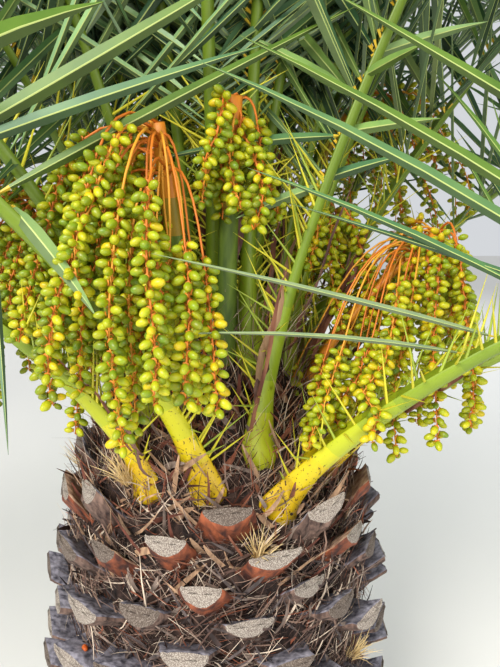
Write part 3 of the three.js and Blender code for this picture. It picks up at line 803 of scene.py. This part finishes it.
rib_rows = []
rounding = np.concatenate([FOOT_SIZES, np.ones(RIB_STATIONS)])
for frond in fronds:
    share = mix(0.0, 0.985, np.linspace(0, 1, RIB_STATIONS) ** 1.25)
    depths = FOOT_DEPTHS * (INNER_FOOT if frond["index"] >= FIRST_INNER_FROND else 1.0)
    distance = np.concatenate([depths, share * frond["length"]])
    centre, along, side, up = on_rib(frond, distance / frond["length"])
    below = np.minimum(distance, 0)[:, None]
    width = rib_width(frond, distance)
    centre = centre + along * below + up * below * 0.5 - up * (0.10 * width[:, None])
    foot = np.clip(1 - np.abs(distance) / SWELLING_REACH, 0, 1)
    green = 0.0 if frond["index"] < YELLOW_FRONDS else mix(0.10, 0.34, frond["index"] / FROND_COUNT)
    green = frond.get("green", green)
    reach = np.where(distance[:-1] > RED_BELOW, np.maximum(distance[:-1], 0) + green, -0.5)
    steps = np.digitize(reach, [start for start, _, _ in RIB_STEPS]) - 1
    ends = np.repeat([steps[0], len(RIB_STEPS) - 1], RIB_CORNERS - 2)
    slots = np.concatenate([np.repeat(steps, RIB_CORNERS), ends])
    rib_rows.append((centre, side, up, rib_section(width * (1 + SWELLING * foot) * rounding), slots))
rib_materials = [
    surface(f"rib_{n}", colour, 0.42, (74, 44, 20), specks, 230, speckled, bump=0.12, bump_scale=60)
    for n, (_, colour, speckled) in enumerate(RIB_STEPS)
]
ribs = tubes(*(np.array(column) for column in zip(*rib_rows)))
piece("frond_ribs", [ribs], rib_materials, "leaf", frond_nodes)

# %% [markdown]
# A bunch of dates hangs from one long flattened stalk. At its end the stalk parts into a broom of
# orange strands, and each strand bends over and hangs straight down under the dates along it.
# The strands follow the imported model's rule, with many thin ones in place of each thick one.
# They slide off to the side where they would touch a rib. A bunch may slant, with one side of it further
# back, and the strands of one side may be longer and stay bare for longer.
# %% Where the bunches hang
# seat_turn and seat say where the stalk leaves the stem, end says where it parts. lean, spread and drop are
# for all its strands, slant and bare for those of one side. Turns are in degrees and lengths in metres.
BUNCH_FACTS = ("seat_turn", "seat", "end", "lean", "spread", "drop", "strands", "slant", "bare")
BUNCHES = {
    "front": (-105, 1.120, (-0.065, -0.235, 1.600), (-0.075, -0.035), 0.150, 0.420, 36, 0.6, 0.35),
    "front_high": (-80, 1.165, (0.048, -0.215, 1.640), (-0.005, 0), 0.060, 0.190, 9, 0, 0),
    "left": (181, 1.150, (-0.300, -0.025, 1.500), (-0.060, -0.030), 0.170, 0.430, 28, 0, 0),
    "right": (-12, 1.085, (0.430, -0.040, 1.430), (-0.090, -0.040), 0.180, 0.390, 34, -0.3, -0.52),
    "right_high": (7, 1.190, (0.210, 0.035, 1.480), (0.025, -0.040), 0.100, 0.250, 10, 0, 0),
    "right_back": (55, 1.205, (0.350, 0.250, 1.750), (0.090, 0.070), 0.170, 0.430, 20, 0, 0),
    "back_right": (73, 1.120, (0.040, 0.370, 1.620), (0, 0.060), 0.170, 0.430, 17, 0, 0),
    "back_left": (124, 1.130, (-0.270, 0.250, 1.600), (-0.040, 0.040), 0.170, 0.430, 17, 0, 0),
}
BUNCHES = {name: dict(zip(BUNCH_FACTS, row)) for name, row in BUNCHES.items()}
STRAND_STATIONS = 15
STRAND_CLEARANCE = 0.018
RIB_SAMPLES = 60


def tree_of(points):
    """A tree that finds the nearest of some points quickly."""
    tree = KDTree(len(points))
    for k, spot in enumerate(points):
        tree.insert(spot, k)
    tree.balance()
    return tree


samples = np.linspace(0, 0.7, RIB_SAMPLES)
rib_tree = tree_of(np.concatenate([on_rib(frond, samples)[0] for frond in fronds]))
rib_reach = np.concatenate([rib_width(frond, samples * frond["length"]) * 0.55 for frond in fronds])


def stalk_line(bunch, stations):
    """A curve from the heart to the place where the strands part, steep at first."""
    foot = seat_on_heart(bunch)
    end = np.array(bunch["end"])
    knee = mix(foot, end, np.array([0.4, 0.4, 0.62]))
    t = np.linspace(0, 1, stations)[:, None]
    points = foot * (1 - t) ** 2 + 2 * knee * t * (1 - t) + end * t**2
    return points, unit((knee - foot) * (1 - t) + (end - knee) * t)


def bare_share(bunch, index):
    return max(0.0, bunch["bare"] * math.cos(math.radians(index * GOLDEN_TURN)))


def strand_line(bunch, index, seed):
    """A strand parts from the stalk near its end, rises a little, leans out and hangs in a slack curve."""
    share = np.linspace(0, 1, STRAND_STATIONS)
    end = np.array(bunch["end"])
    start = stalk_line(bunch, 41)[0][int(between(32, 40.9, index, seed + 20))]
    out = bunch["spread"] * 1.15 * math.sqrt((index + 0.5) / bunch["strands"])
    fall = between(0.42, 1.04, index, seed, 0.8)
    fall = mix(fall, 0.98, min(1, 1.8 * bare_share(bunch, index)))
    off = end + np.array([*bunch["lean"], 0.0]) + direction(index * GOLDEN_TURN, 0.0) * out - start
    off[1] -= bunch["slant"] * out * math.cos(math.radians(index * GOLDEN_TURN))
    off[2] = 0
    drop = bunch["drop"] * fall - (end[2] - start[2])
    points = start + off * (1 - (1 - share) ** 1.9)[:, None]
    lift = 0.045 * min(1, np.linalg.norm(off) / 0.110)
    points[:, 2] += lift * np.sin(np.pi * np.minimum(1, share * 1.8)) - drop * share**1.4
    sway = 0.013 * np.sin(share * 6.5 + 2.1 * index)[:, None] * share[:, None]
    points += sway * direction(index * 71.0, 0.0)
    for k in range(2, STRAND_STATIONS):
        spot, near, gap = rib_tree.find(points[k])
        need = rib_reach[near] + STRAND_CLEARANCE
        if gap < need:
            away = np.array(points[k]) - np.array(spot)
            points[k] += away / max(gap, 1e-6) * (need - gap)
    return points


strands = []
for number, (name, bunch) in enumerate(BUNCHES.items()):
    for index in range(bunch["strands"]):
        line = strand_line(bunch, index, 61 + number)
        strands.append({"bunch": name, "bare": bare_share(bunch, index), "line": line})
strand_points = np.array([s["line"] for s in strands])
strand_bunch = np.array([s["bunch"] for s in strands])
print(len(strands), "strands")

# %% [markdown]
# The stalk is as thick as a thumb, green at its foot, then olive, and orange where it parts. The stalk of
# the right bunch is orange all along. The strands are thin orange and yellow wires.
# Both are round tubes. The strands are thicker where they leave the stalk.
# %% Fruit stalks and strands
# A direction that no strand runs along.
ASKEW = np.array([0.31, 0.95, 0.11])
STALK_STATIONS = 16
STALK_CORNERS = 12
STRAND_CORNERS = 5
ORANGE, STRAND_ORANGE, STRAND_YELLOW, GREEN, OLIVE = range(5)
fruit_stalk_materials = [
    surface("stalk_orange", (196, 112, 24), 0.5, (224, 148, 42), grain, 60, bump=0.4, bump_scale=70),
    surface("strand_orange", (212, 118, 36), 0.5),
    surface("strand_yellow", (228, 158, 48), 0.5),
    surface("stalk_green", (62, 84, 24), 0.6, (102, 124, 38), grain, 60, bump=0.4, bump_scale=70),
    surface("stalk_olive", (126, 112, 26), 0.55, (168, 132, 38), grain, 60, bump=0.4, bump_scale=70),
]
stalk_rows = [stalk_line(bunch, STALK_STATIONS) for bunch in BUNCHES.values()]
centres, ways = (np.array(column) for column in zip(*stalk_rows))
width = mix(0.042, 0.024, np.linspace(0, 1, STALK_STATIONS))[None, :, None, None]
stages = np.array([GREEN, OLIVE, ORANGE])[np.digitize(np.arange(STALK_STATIONS - 1), [9, 11])]
stages = np.append(np.repeat(stages, STALK_CORNERS), np.repeat([GREEN, ORANGE], STALK_CORNERS - 2))
slots = np.array([np.where(name == "right", ORANGE, stages) for name in BUNCHES])
stalks = tubes(centres, *across(ways), ring_section(STALK_CORNERS) * np.array([0.5, 0.30]) * width, slots)

sides = beside(unit(np.gradient(strand_points, axis=1)), ASKEW)
thick = mix(0.0028, 0.0012, np.linspace(0, 1, STRAND_STATIONS) ** 0.5)[None, :, None, None]
slots = np.where(chance(np.arange(len(strands)), 71) < 0.45, STRAND_YELLOW, STRAND_ORANGE)
wires = tubes(strand_points, *sides, ring_section(STRAND_CORNERS) * thick, slots)
bunch_nodes = {name: "fruit_bunch_" + name for name in BUNCHES}
piece(
    "fruit_stalks_and_strands", [stalks, wires], fruit_stalk_materials, "fruit", list(bunch_nodes.values())
)

# %% [markdown]
# A date is an egg a little longer than wide, with a small orange cap where it sits on its strand.
# It starts as a sphere with few faces, drawn out and narrowed at the tip in edit mode.
# Its roundness comes from smooth shading, so that thousands of them stay light.
# %% One date and its cap
def make_date(segments, rings):
    date = begin(bpy.ops.mesh.primitive_uv_sphere_add, segments=segments, ring_count=rings, radius=0.5)
    bpy.ops.mesh.select_all(action="SELECT")
    bpy.ops.transform.resize(value=(0.70, 0.70, 1.0))
    reshape(date, lambda p: abs(p.z) > 0.3, (1.06, 1.06, 1.0))
    reshape(date, lambda p: p.z > 0.18, (0.94, 0.94, 1.0), (0, 0, 0.02))
    return pattern_of(date)


date_near = make_date(8, 6)
date_far = make_date(6, 5)
cap = begin(
    bpy.ops.mesh.primitive_cone_add,
    vertices=6, radius1=0.26, radius2=0.10, depth=0.16, end_fill_type="NOTHING", location=(0, 0, -0.44),
)
bpy.ops.mesh.select_all(action="SELECT")
bpy.ops.mesh.normals_make_consistent(inside=False)
cap_points, cap_faces = pattern_of(cap)

# %% [markdown]
# The dates sit close along the lower three quarters of each strand, every one turned a golden turn from
# the last, and point outwards and down. They ripen one by one, so each is dealt one of six nearly plain
# colours from green to deep yellow, and no two neighbours are quite the same size. The right bunches are
# dealt more yellow and fewer dark greens, a painted light against the shade of the fronds above them.
# %% Dates along the strands
NEARLY_UP = np.array([0.2, 0.1, 0.97])
DATE_LENGTH = 0.0178
DATE_COLOURS = [
    (138, 160, 30), (160, 176, 34), (120, 148, 34), (178, 188, 38), (104, 132, 36), (194, 184, 34)
]
CAP = len(DATE_COLOURS)
DEALT_DATES = (0.28, 0.52, 0.70, 0.84, 0.94)
# More yellow and fewer dark greens for the right bunches: painted light for bunches in the shade of fronds.
DEALT_DATES_RIGHT_PAINTED_LIGHT = (0.24, 0.54, 0.62, 0.84, 0.87)
date_materials = [
    surface(f"date_{n}", (r, g, b), 0.38, (min(r + 26, 255), g + 4, b - 6), tone, 90, shine=0.45)
    for n, (r, g, b) in enumerate(DATE_COLOURS)
]
date_materials.append(surface("date_cap", (214, 126, 36), 0.6))


def dates_on(rows, spacing, seed):
    """Places and directions of the dates on some strands."""
    places, ways = [], []
    for row in rows:
        line = strand_points[row]
        steps = np.linalg.norm(np.diff(line, axis=0), axis=1)
        reach = np.concatenate([[0], np.cumsum(steps)])
        start = (between(0.13, 0.30, row, seed) + strands[row]["bare"]) * reach[-1]
        at = np.arange(start, reach[-1], spacing)
        spot = np.stack([np.interp(at, reach, line[:, k]) for k in range(3)], -1)
        way = unit(np.stack([np.interp(at, reach, np.gradient(line[:, k])) for k in range(3)], -1))
        side, up = beside(way, ASKEW)
        turn = np.radians(np.arange(len(at)) * GOLDEN_TURN + 50 * row)[:, None]
        out = side * np.cos(turn) + up * np.sin(turn)
        tilt = between(0.0, 0.75, np.arange(len(at)) + 91 * row, seed + 1)[:, None]
        places.append(spot + out * 0.003)
        ways.append(unit(out + way * tilt))
    return np.concatenate(places), np.concatenate(ways)


def lay_dates(name, bunches, spacing, pattern, seed, bounds=DEALT_DATES):
    rows = np.flatnonzero(np.isin(strand_bunch, bunches))
    places, ways = dates_on(rows, spacing, seed)
    k = np.arange(len(places))
    size = DATE_LENGTH * between(0.86, 1.12, k, seed + 2)
    side, up = beside(ways, NEARLY_UP)
    centre = places + ways * (size * 0.55)[:, None]

    def at(points):
        reaches = (reach * each(size) for reach in split(points))
        return placed(centre, *zip((side, up, ways), reaches))

    dealt = np.digitize(chance(k, seed + 3), bounds)
    parts = [copies(pattern[1], at(pattern[0]), dealt), copies(cap_faces, at(cap_points), CAP)]
    piece(name, parts, date_materials, "fruit", [bunch_nodes[b] for b in bunches])


lay_dates("dates_front", ["front"], 0.0049, date_near, 81)
lay_dates("dates_front_high", ["front_high"], 0.0049, date_near, 97)
lay_dates("dates_left", ["left"], 0.0054, date_near, 85)
lay_dates("dates_right", ["right", "right_high"], 0.0052, date_near, 89, DEALT_DATES_RIGHT_PAINTED_LIGHT)
lay_dates("dates_back", ["right_back", "back_right", "back_left"], 0.0098, date_far, 93)

# %% [markdown]
# A few ripe dates have dropped and lie on top of the cut leaf bases.
# %% Fallen dates
FALLEN_LENGTH = 0.017
resting = np.flatnonzero((chance(stubs, 201) < 0.16) & (stub_share > 0.2) & (stub_share < 0.95))
along, side, up = stub_along[resting], stub_side[resting], stub_up[resting]
spot = stub_root[resting] + along * between(0.10, 0.15, resting, 202)[:, None]
spot = spot + up * 0.014 + side * between(-0.02, 0.02, resting, 203)[:, None]
way = unit(side + along * between(-1, 1, resting, 204)[:, None])
x, y, z = split(date_near[0] * FALLEN_LENGTH)
fallen = placed(spot, (up, x), (np.cross(way, up), y), (way, z))
ripe = surface("ripe_date", (206, 98, 34), 0.45, (170, 70, 30), tone, 90)
piece("fallen_dates", [copies(date_near[1], fallen, 0)], [ripe], "fruit", ["trunk"])

# %% [markdown]
# A leaflet is a strip folded along its middle, like a gutter. It is narrow and orange-yellow where it
# leaves the rib, soon reaches its full width, and tapers to a long fine point. The fold shows as a pale line.
# It is modelled flat from a grid whose rows are widened or narrowed in turn. The fold is put in with the
# copies.
# %% One leaflet
# Each row of the strip: how far along it lies, and how wide it is there.
LEAFLET_ROWS = [
    (0.0, 0.20), (0.028, 0.36), (0.13, 0.82), (0.28, 1.0),
    (0.48, 0.92), (0.68, 0.68), (0.86, 0.36), (1.0, 0.04),
]
ROW_SHIFT = 10


def make_leaflet(widths, rows, middle):
    """A flat strip, one long and one wide. middle is how far the pale line reaches to each side."""
    leaflet = begin(
        bpy.ops.mesh.primitive_grid_add, x_subdivisions=widths, y_subdivisions=len(rows) - 1, size=1
    )
    next_to_middle = 1 / widths
    narrowing = (middle / next_to_middle, 1, 1)
    reshape(leaflet, lambda p: 0.01 < abs(p.x) < next_to_middle + 0.01, narrowing)
    before = [(-0.5 + k / (len(rows) - 1)) for k in range(len(rows))]
    for old, (new, wide) in reversed(list(zip(before, rows))):
        reshape(leaflet, lambda p: abs(p.y - old) < 0.01, (wide, 1, 1), (0, ROW_SHIFT + new - old, 0))
    bpy.ops.mesh.select_all(action="SELECT")
    bpy.ops.transform.translate(value=(0, -ROW_SHIFT, 0))
    return pattern_of(leaflet)


leaflet_near = make_leaflet(6, LEAFLET_ROWS, 0.05)
leaflet_far = make_leaflet(4, [LEAFLET_ROWS[k] for k in (0, 2, 4, 5, 6, 7)], 0.06)

# %% [markdown]
# Leaflets stand on both flanks of the rib. Near its foot they come in small groups, square to the rib and
# in several ranks, some flat and some nearly upright; towards the tip they lie flat and point forwards.
# That is the imported model's rule with a leaflet every two and a half centimetres. On the inner fronds they
# point forwards from the start. One that would run through another rib or the fruit is left out, and so is
# one that would reach into the open side, where the fronds have been held apart for the photograph.
# Only a few large leaflets cross there. They are listed one by one, and each turns its width to the camera.
# %% Where the leaflets stand
LEAFLET_SPACING = 0.025
LEAFLET_LENGTH = 0.55
LEAFLET_WIDTH = 0.022
# The fronds in the foreground have the finer leaflets and the first row of greens.
NEAR_FRONDS = {0, 2, 7, 8, 16, 18, 20, 26, 34}
LEAF_COLOURS = [
    (114, 150, 74), (93, 128, 74), (132, 165, 83), (76, 109, 70), (138, 167, 102),
    (121, 154, 100), (158, 178, 107), (95, 124, 42), (84, 122, 72), (138, 156, 111),
]
# The far fronds have their own greens, paler than the near ones: painted light standing in for the light that
# comes through and between the leaflets deep in the crown.
DEEP_COLOURS = [
    (119, 152, 96), (95, 128, 85), (140, 175, 113), (78, 109, 74), (171, 197, 152),
    (127, 163, 119), (186, 205, 148),
]
# The large leaflets of each frond: the distance of the base along the rib, the leaflet's own length, its
# heading and its rise in degrees, its width, and the number of its colour.
SET_LEAFLETS = {
    2: [
        (0.735, 0.34, -26, 15, 0.030, 7),
        (0.660, 0.48, 3, 27, 0.024, 7),
        (0.650, 0.42, 6, 20, 0.021, 8),
        (0.580, 0.58, 16, 28, 0.020, 7),
        (0.560, 0.19, -31, -38, 0.026, 4),
        (0.600, 0.34, -67, -62, 0.012, 3),
    ],
    0: [
        (0.760, 0.58, 175, 30, 0.020, 7),
        (0.660, 0.61, 179, 32, 0.019, 7),
        (0.620, 0.62, 179, 32, 0.020, 1),
        (0.560, 0.48, 180, 27, 0.013, 8),
        (0.585, 0.42, 176, 19, 0.010, 3),
        (0.470, 0.51, -165, 17, 0.010, 9),
        (0.420, 0.44, -167, 13, 0.009, 9),
    ],
    18: [
        (0.540, 0.29, -172, -2, 0.018, 8),
        (0.545, 0.16, 3, 10, 0.020, 2),
        (0.460, 0.15, -158, -16, 0.020, 4),
        (0.470, 0.14, 6, 19, 0.020, 8),
        (0.600, 0.20, 171, 33, 0.020, 2),
        (0.660, 0.20, 11, 20, 0.020, 4),
        (0.630, 0.14, -69, 7, 0.018, 2),
    ],
}
SET_SHARE = 0.1
OPEN_SPOT = np.array([-0.05, -0.95, 1.60])
OPEN_REACH = 0.62
GROUND_CLEARANCE = 0.03
RIB_CLEARANCE = 0.003
FRUIT_CLEARANCE = 0.020
fruit_tree = tree_of(strand_points[:, 4:].reshape(-1, 3))


def set_leaflets_of(frond):
    """The leaflets that are listed one by one, in the columns of leaflets_of(). Their share marks them."""
    rows = []
    for distance, long, heading, rise, width, colour in SET_LEAFLETS.get(frond["index"], []):
        spot = on_rib(frond, np.array([distance / frond["length"]]))[0]
        way = direction(np.array([heading]), np.array([rise]))
        wide = unit(np.cross(way, VIEW_SPOT - spot - way * long / 2))
        rows.append((spot, way, wide, *(np.array([v]) for v in (long, SET_SHARE, 1, width, colour))))
    return rows


def leaflets_of(frond):
    """Base, way, width direction, length, share along the blade, side, width and colour of the leaflets."""
    index, petiole = frond["index"], frond["petiole"]
    blade = frond["length"] - petiole
    count = int(blade / LEAFLET_SPACING)
    k = np.arange(count)
    square = 92 if index < FIRST_INNER_FROND else 66
    rows = []
    for hand in (1, -1):
        share = (k + 0.5 + 0.4 * (chance(k, 100 + index) - 0.5)) / count
        group = k % 3 - 1
        share = share - group * 0.55 / count * np.clip(1 - share * 2.2, 0, 1)
        distance = petiole + share * blade * 0.975
        spot, along, side, up = on_rib(frond, distance / frond["length"])
        rank = chance(k + 50 * hand, index) - 0.5
        angle = np.radians(mix(square, 26, share**0.6) + 12 * (chance(k, index + 40 * hand) - 0.5))
        lift = np.radians(mix(44, 10, share) + mix(70, 18, share**0.5) * rank)
        out = side * hand * np.cos(lift)[:, None] + up * np.sin(lift)[:, None]
        way = along * np.cos(angle)[:, None] + out * np.sin(angle)[:, None]
        wide = unit(along - way * dot(along, way))
        long = LEAFLET_LENGTH * (0.5 + 0.5 * np.sin(np.pi * mix(0.3, 0.92, share)))
        long = long * between(0.90, 1.06, k, index + 7 * hand)
        rib = rib_width(frond, distance)
        base = spot + side * (hand * 0.44 * rib)[:, None] - up * (0.16 * rib)[:, None]
        width = LEAFLET_WIDTH * between(0.86, 1.1, k, 111 + hand) * mix(1.0, 0.6, share**3)
        width = width * np.clip(0.6 + share * 6, 0, 1)
        dealt = (chance(k + 300 * (hand > 0), index + 120) + 0.5 * chance(index, 121)) / 1.5
        colour = np.digitize(dealt, [0.2, 0.36, 0.52, 0.68, 0.8, 0.92])
        if index not in NEAR_FRONDS:
            colour = colour + len(LEAF_COLOURS)
        rows.append((base, way, wide, long, share, np.full(count, hand), width, colour))
    return columns(rows)


def is_free(base, way, long, number):
    """Whether a leaflet keeps clear of other ribs, of the fruit, of the ground and of the open side."""
    for part in (0.25, 0.5, 0.75, 1.0):
        spot = base + way * long * part
        _, near, gap = rib_tree.find(spot)
        if (
            spot[2] < GROUND_CLEARANCE
            or (gap < rib_reach[near] + RIB_CLEARANCE and near // RIB_SAMPLES != number)
            or fruit_tree.find(spot)[2] < FRUIT_CLEARANCE
            or np.linalg.norm(spot - OPEN_SPOT) < OPEN_REACH
        ):
            return False
    return True


for number, frond in enumerate(fronds):
    found = leaflets_of(frond)
    free = np.array([is_free(base, way, long, number) for base, way, _, long in zip(*found[:4])])
    kept = [column[free] for column in found]
    frond["leaflets"] = columns([kept, *set_leaflets_of(frond)])
print(sum(len(f["leaflets"][0]) for f in fronds), "leaflets")

# %% [markdown]
# The greens differ from frond to frond and from leaflet to leaflet, blue-green where a leaflet shows its
# waxy back, yellower where it is old; the far fronds have paler greens, a painted light for the deep crown.
# They are plain colours dealt out by leaflet. The lower half of each fold is painted a darker shade of the
# same green, a painted shade for the half turned from the light above, and a few leaflets have a dry tip.
# A leaflet also sags by its own weight, and its fold opens towards the tip.
# %% Leaflets on the fronds
DRY_SHARE = 0.035
LINE_REACH = 0.035
FOOT_REACH = 0.025
TIP_START = 0.8
leaf_materials, shade_materials = [], []
for n, colour in enumerate(LEAF_COLOURS + DEEP_COLOURS):
    red, green, blue = colour
    duller = (red - 16, green - 14, blue - 4)
    leaf_materials.append(surface(f"leaflet_{n}", colour, 0.42, duller, tone, 16, shine=0.4))
    # Each green also gets a darker copy: painted shade for the half of a leaflet turned from the light.
    painted_shade = shaded(colour, 0.72)
    shade_materials.append(surface(f"leaflet_painted_shade_{n}", painted_shade, 0.5, shaded(painted_shade, 0.84), tone, 16))
PALE, FOOT, DRY, FIRST_SHADE = range(len(leaf_materials), len(leaf_materials) + 4)
leaf_all = leaf_materials + [
    surface("leaflet_line", (176, 190, 110), 0.5),
    surface("leaflet_foot", (216, 180, 52), 0.5),
    surface("leaflet_dry", (206, 192, 160), 0.75),
    *shade_materials,
]


def leaflet_part(frond, pattern):
    points, faces = pattern
    base, way, wide, long, share, hand, width, colour = frond["leaflets"]
    k = np.arange(len(base))
    by_hand = share == SET_SHARE
    wide = wide * np.where(wide[:, 2:] < 0, -1, 1)
    normal = np.cross(way, wide) * hand[:, None]
    turned = np.where(by_hand, -normal[:, 1], normal[:, 2])[:, None]
    normal = normal * np.where(turned < 0, -1, 1) * np.where(by_hand, -1, 1)[:, None]
    x, y, _ = split(points)
    fold = each(np.radians(np.where(by_hand, 30, between(54, 34, k, 112)))) * mix(1.0, 0.7, y)
    sag = -0.10 * long * chance(k, 113) * (1 - 0.6 * share)
    curl = 0.05 * (chance(k, 114) - 0.5) * long
    at = placed(
        base,
        (way, y * each(long)),
        (wide, x * each(width) * np.cos(fold) + each(curl) * y**2),
        (normal, np.abs(x) * each(width) * np.sin(fold)),
    )
    at = at + UP * (each(sag) * y**2.2)
    middle = points[faces].mean(1)
    slots = np.repeat(colour.astype(int)[:, None], len(faces), 1)
    # The lower half of each fold takes the darker copy, as painted shade.
    slots[:, middle[:, 0] < 0] += FIRST_SHADE
    slots[:, np.abs(middle[:, 0]) < LINE_REACH] = PALE
    if pattern is leaflet_near:
        slots[:, middle[:, 1] < FOOT_REACH] = FOOT
    dry = (chance(k, frond["index"] + 130) < DRY_SHARE) & ~by_hand
    slots[np.ix_(dry, middle[:, 1] > TIP_START)] = DRY
    return copies(faces, at, slots)


near = [leaflet_part(f, leaflet_near) for f in fronds if f["index"] in NEAR_FRONDS]
far = [leaflet_part(f, leaflet_far) for f in fronds if f["index"] not in NEAR_FRONDS]
piece("leaflets_near", near, leaf_all, "leaf", frond_nodes)
piece("leaflets_low", far[: len(far) // 2], leaf_all, "leaf", frond_nodes)
piece("leaflets_high", far[len(far) // 2 :], leaf_all, "leaf", frond_nodes)

# %% [markdown]
# Below the first leaflets the stalk is armed. Its lowest leaflets have shrunk to stiff yellow-green spines,
# a hand long, which point every way. On the two nearest stalks to the left they end sooner.
# One spine is a five-sided cone, cut into rings and fuller in its middle.
# %% Spines on the frond stalks
SPINE_WIDTH = 0.0052
SPINE_DEPTH = 0.0034
NEAR_SPINES, FAR_SPINES = 52, 36
LOWEST_SPINE = 0.05
ARMED_UP_TO = {2: 0.36, 7: 0.36}
spine = begin(
    bpy.ops.mesh.primitive_cone_add,
    vertices=5, radius1=0.5, radius2=0.02, depth=1, end_fill_type="NOTHING", location=(0, 0, 0.5),
)
cut_rings(spine, 2)
reshape(spine, lambda p: 0.2 < p.z < 0.9, (1.15, 1.15, 1))
spine_points, spine_faces = pattern_of(spine)
rows = []
for frond in fronds:
    index, petiole = frond["index"], frond["petiole"]
    count = NEAR_SPINES if index in NEAR_FRONDS else FAR_SPINES
    k = np.arange(count)
    hand = np.where(k % 2, 1, -1)
    armed = ARMED_UP_TO.get(index, petiole + 0.06)
    distance = mix(LOWEST_SPINE, armed, ((k + chance(k, 140 + index)) / count) ** 1.2)
    spot, along, side, up = on_rib(frond, distance / frond["length"])
    angle = np.radians(between(78, 38, k, 150 + index))[:, None]
    lift = np.radians(between(-8, 82, k, 160 + index))[:, None]
    out = side * hand[:, None] * np.cos(lift) + up * np.sin(lift)
    way = along * np.cos(angle) + out * np.sin(angle)
    width = rib_width(frond, distance)
    base = spot + side * (hand * 0.42 * width)[:, None] - up * (0.12 * width)[:, None]
    long = mix(0.115, 0.15, ((distance - LOWEST_SPINE) / petiole) ** 0.6)
    long = long * between(0.7, 1.1, k, 170 + index)
    rows.append((base, way, long, along))
base, way, long, along = columns(rows)
flat = unit(along - way * dot(along, way))
x, y, z = split(spine_points)
at = placed(base, (way, z * each(long)), (flat, x * SPINE_WIDTH), (np.cross(way, flat), y * SPINE_DEPTH))
dealt = chance(np.arange(len(base)), 181) < 0.32
spine_yellow = surface("spine_yellow", (214, 206, 58), 0.45)
spine_green = surface("spine_green", (160, 178, 64), 0.45)
piece("frond_spines", [copies(spine_faces, at, dealt)], [spine_yellow, spine_green], "leaf", frond_nodes)

# %% [markdown]
# Between the living stalks stand strips of the sheaths that once wrapped them, dry, mauve-brown and curled.
# Each strip is a grid bent into a shallow gutter that leans on the heart. Most stalks have strips on both
# sides. The two nearest have them on one side only, and those of the first are short.
# %% Dry sheaths in the crown
PER_FROND = 6
SHORT_SHEATHS = {0: 0.5}
SHEATH_SIDES = {0: np.ones(PER_FROND), 2: -np.ones(PER_FROND)}
strip = begin(bpy.ops.mesh.primitive_grid_add, x_subdivisions=3, y_subdivisions=7, size=1)
reshape(strip, lambda p: p.y > 0.3, (0.55, 1, 1))
reshape(strip, lambda p: p.y > 0.45, (0.3, 1, 1))
reshape(strip, lambda p: abs(p.x) > 0.3, shift=(0, 0, 0.12))
strip_points, strip_faces = pattern_of(strip)
rows = []
for frond in fronds:
    k = np.arange(PER_FROND) + 10 * frond["index"]
    hand = SHEATH_SIDES.get(frond["index"], np.array([1, -1, 1, -1, 1, -1]))
    spot, along, side, up = on_rib(frond, between(0.005, 0.045, k, 191))
    spot = spot + side * (hand * between(0.60, 0.72, k, 192) * frond["foot_width"])[:, None]
    spot = spot - up * (between(0.0, 0.25, k, 193) * frond["foot_width"])[:, None]
    way = unit(along + side * (hand * between(-0.02, 0.20, k, 194))[:, None] + up * 0.05)
    rows.append((spot, way, *across(way), np.full(PER_FROND, SHORT_SHEATHS.get(frond["index"], 1.0))))
base, way, side, up, reach = columns(rows)
k = np.arange(len(base))
spin = np.radians(between(-80, 80, k, 195))[:, None]
side, up = side * np.cos(spin) + up * np.sin(spin), up * np.cos(spin) - side * np.sin(spin)
long = reach * between(0.09, 0.30, k, 196, 1.5)
wide = each(between(0.006, 0.016, k, 197, 1.5))
x, y, z = split(strip_points)
ripple = 0.5 * np.sin(8 * y + 3 * each(k))
at = placed(
    base,
    (way, (y + 0.5) * each(long)),
    (side, x * wide + 0.010 * ripple * (y + 0.5)),
    (up, z * wide + 0.012 * ripple),
)
sheath_materials = [
    surface("sheath_mauve", (92, 64, 58), 0.8, (140, 106, 94), grain, 60, bump=0.8),
    surface("sheath_brown", (94, 54, 42), 0.85, (146, 98, 72), grain, 60, bump=0.8),
    surface("sheath_pale", (170, 138, 106), 0.8, (124, 86, 66), grain, 60, bump=0.8),
]
dealt = np.digitize(chance(k, 198), [0.4, 0.85])
piece("dry_sheaths", [copies(strip_faces, at, dealt)], sheath_materials, "bark", ["trunk"])
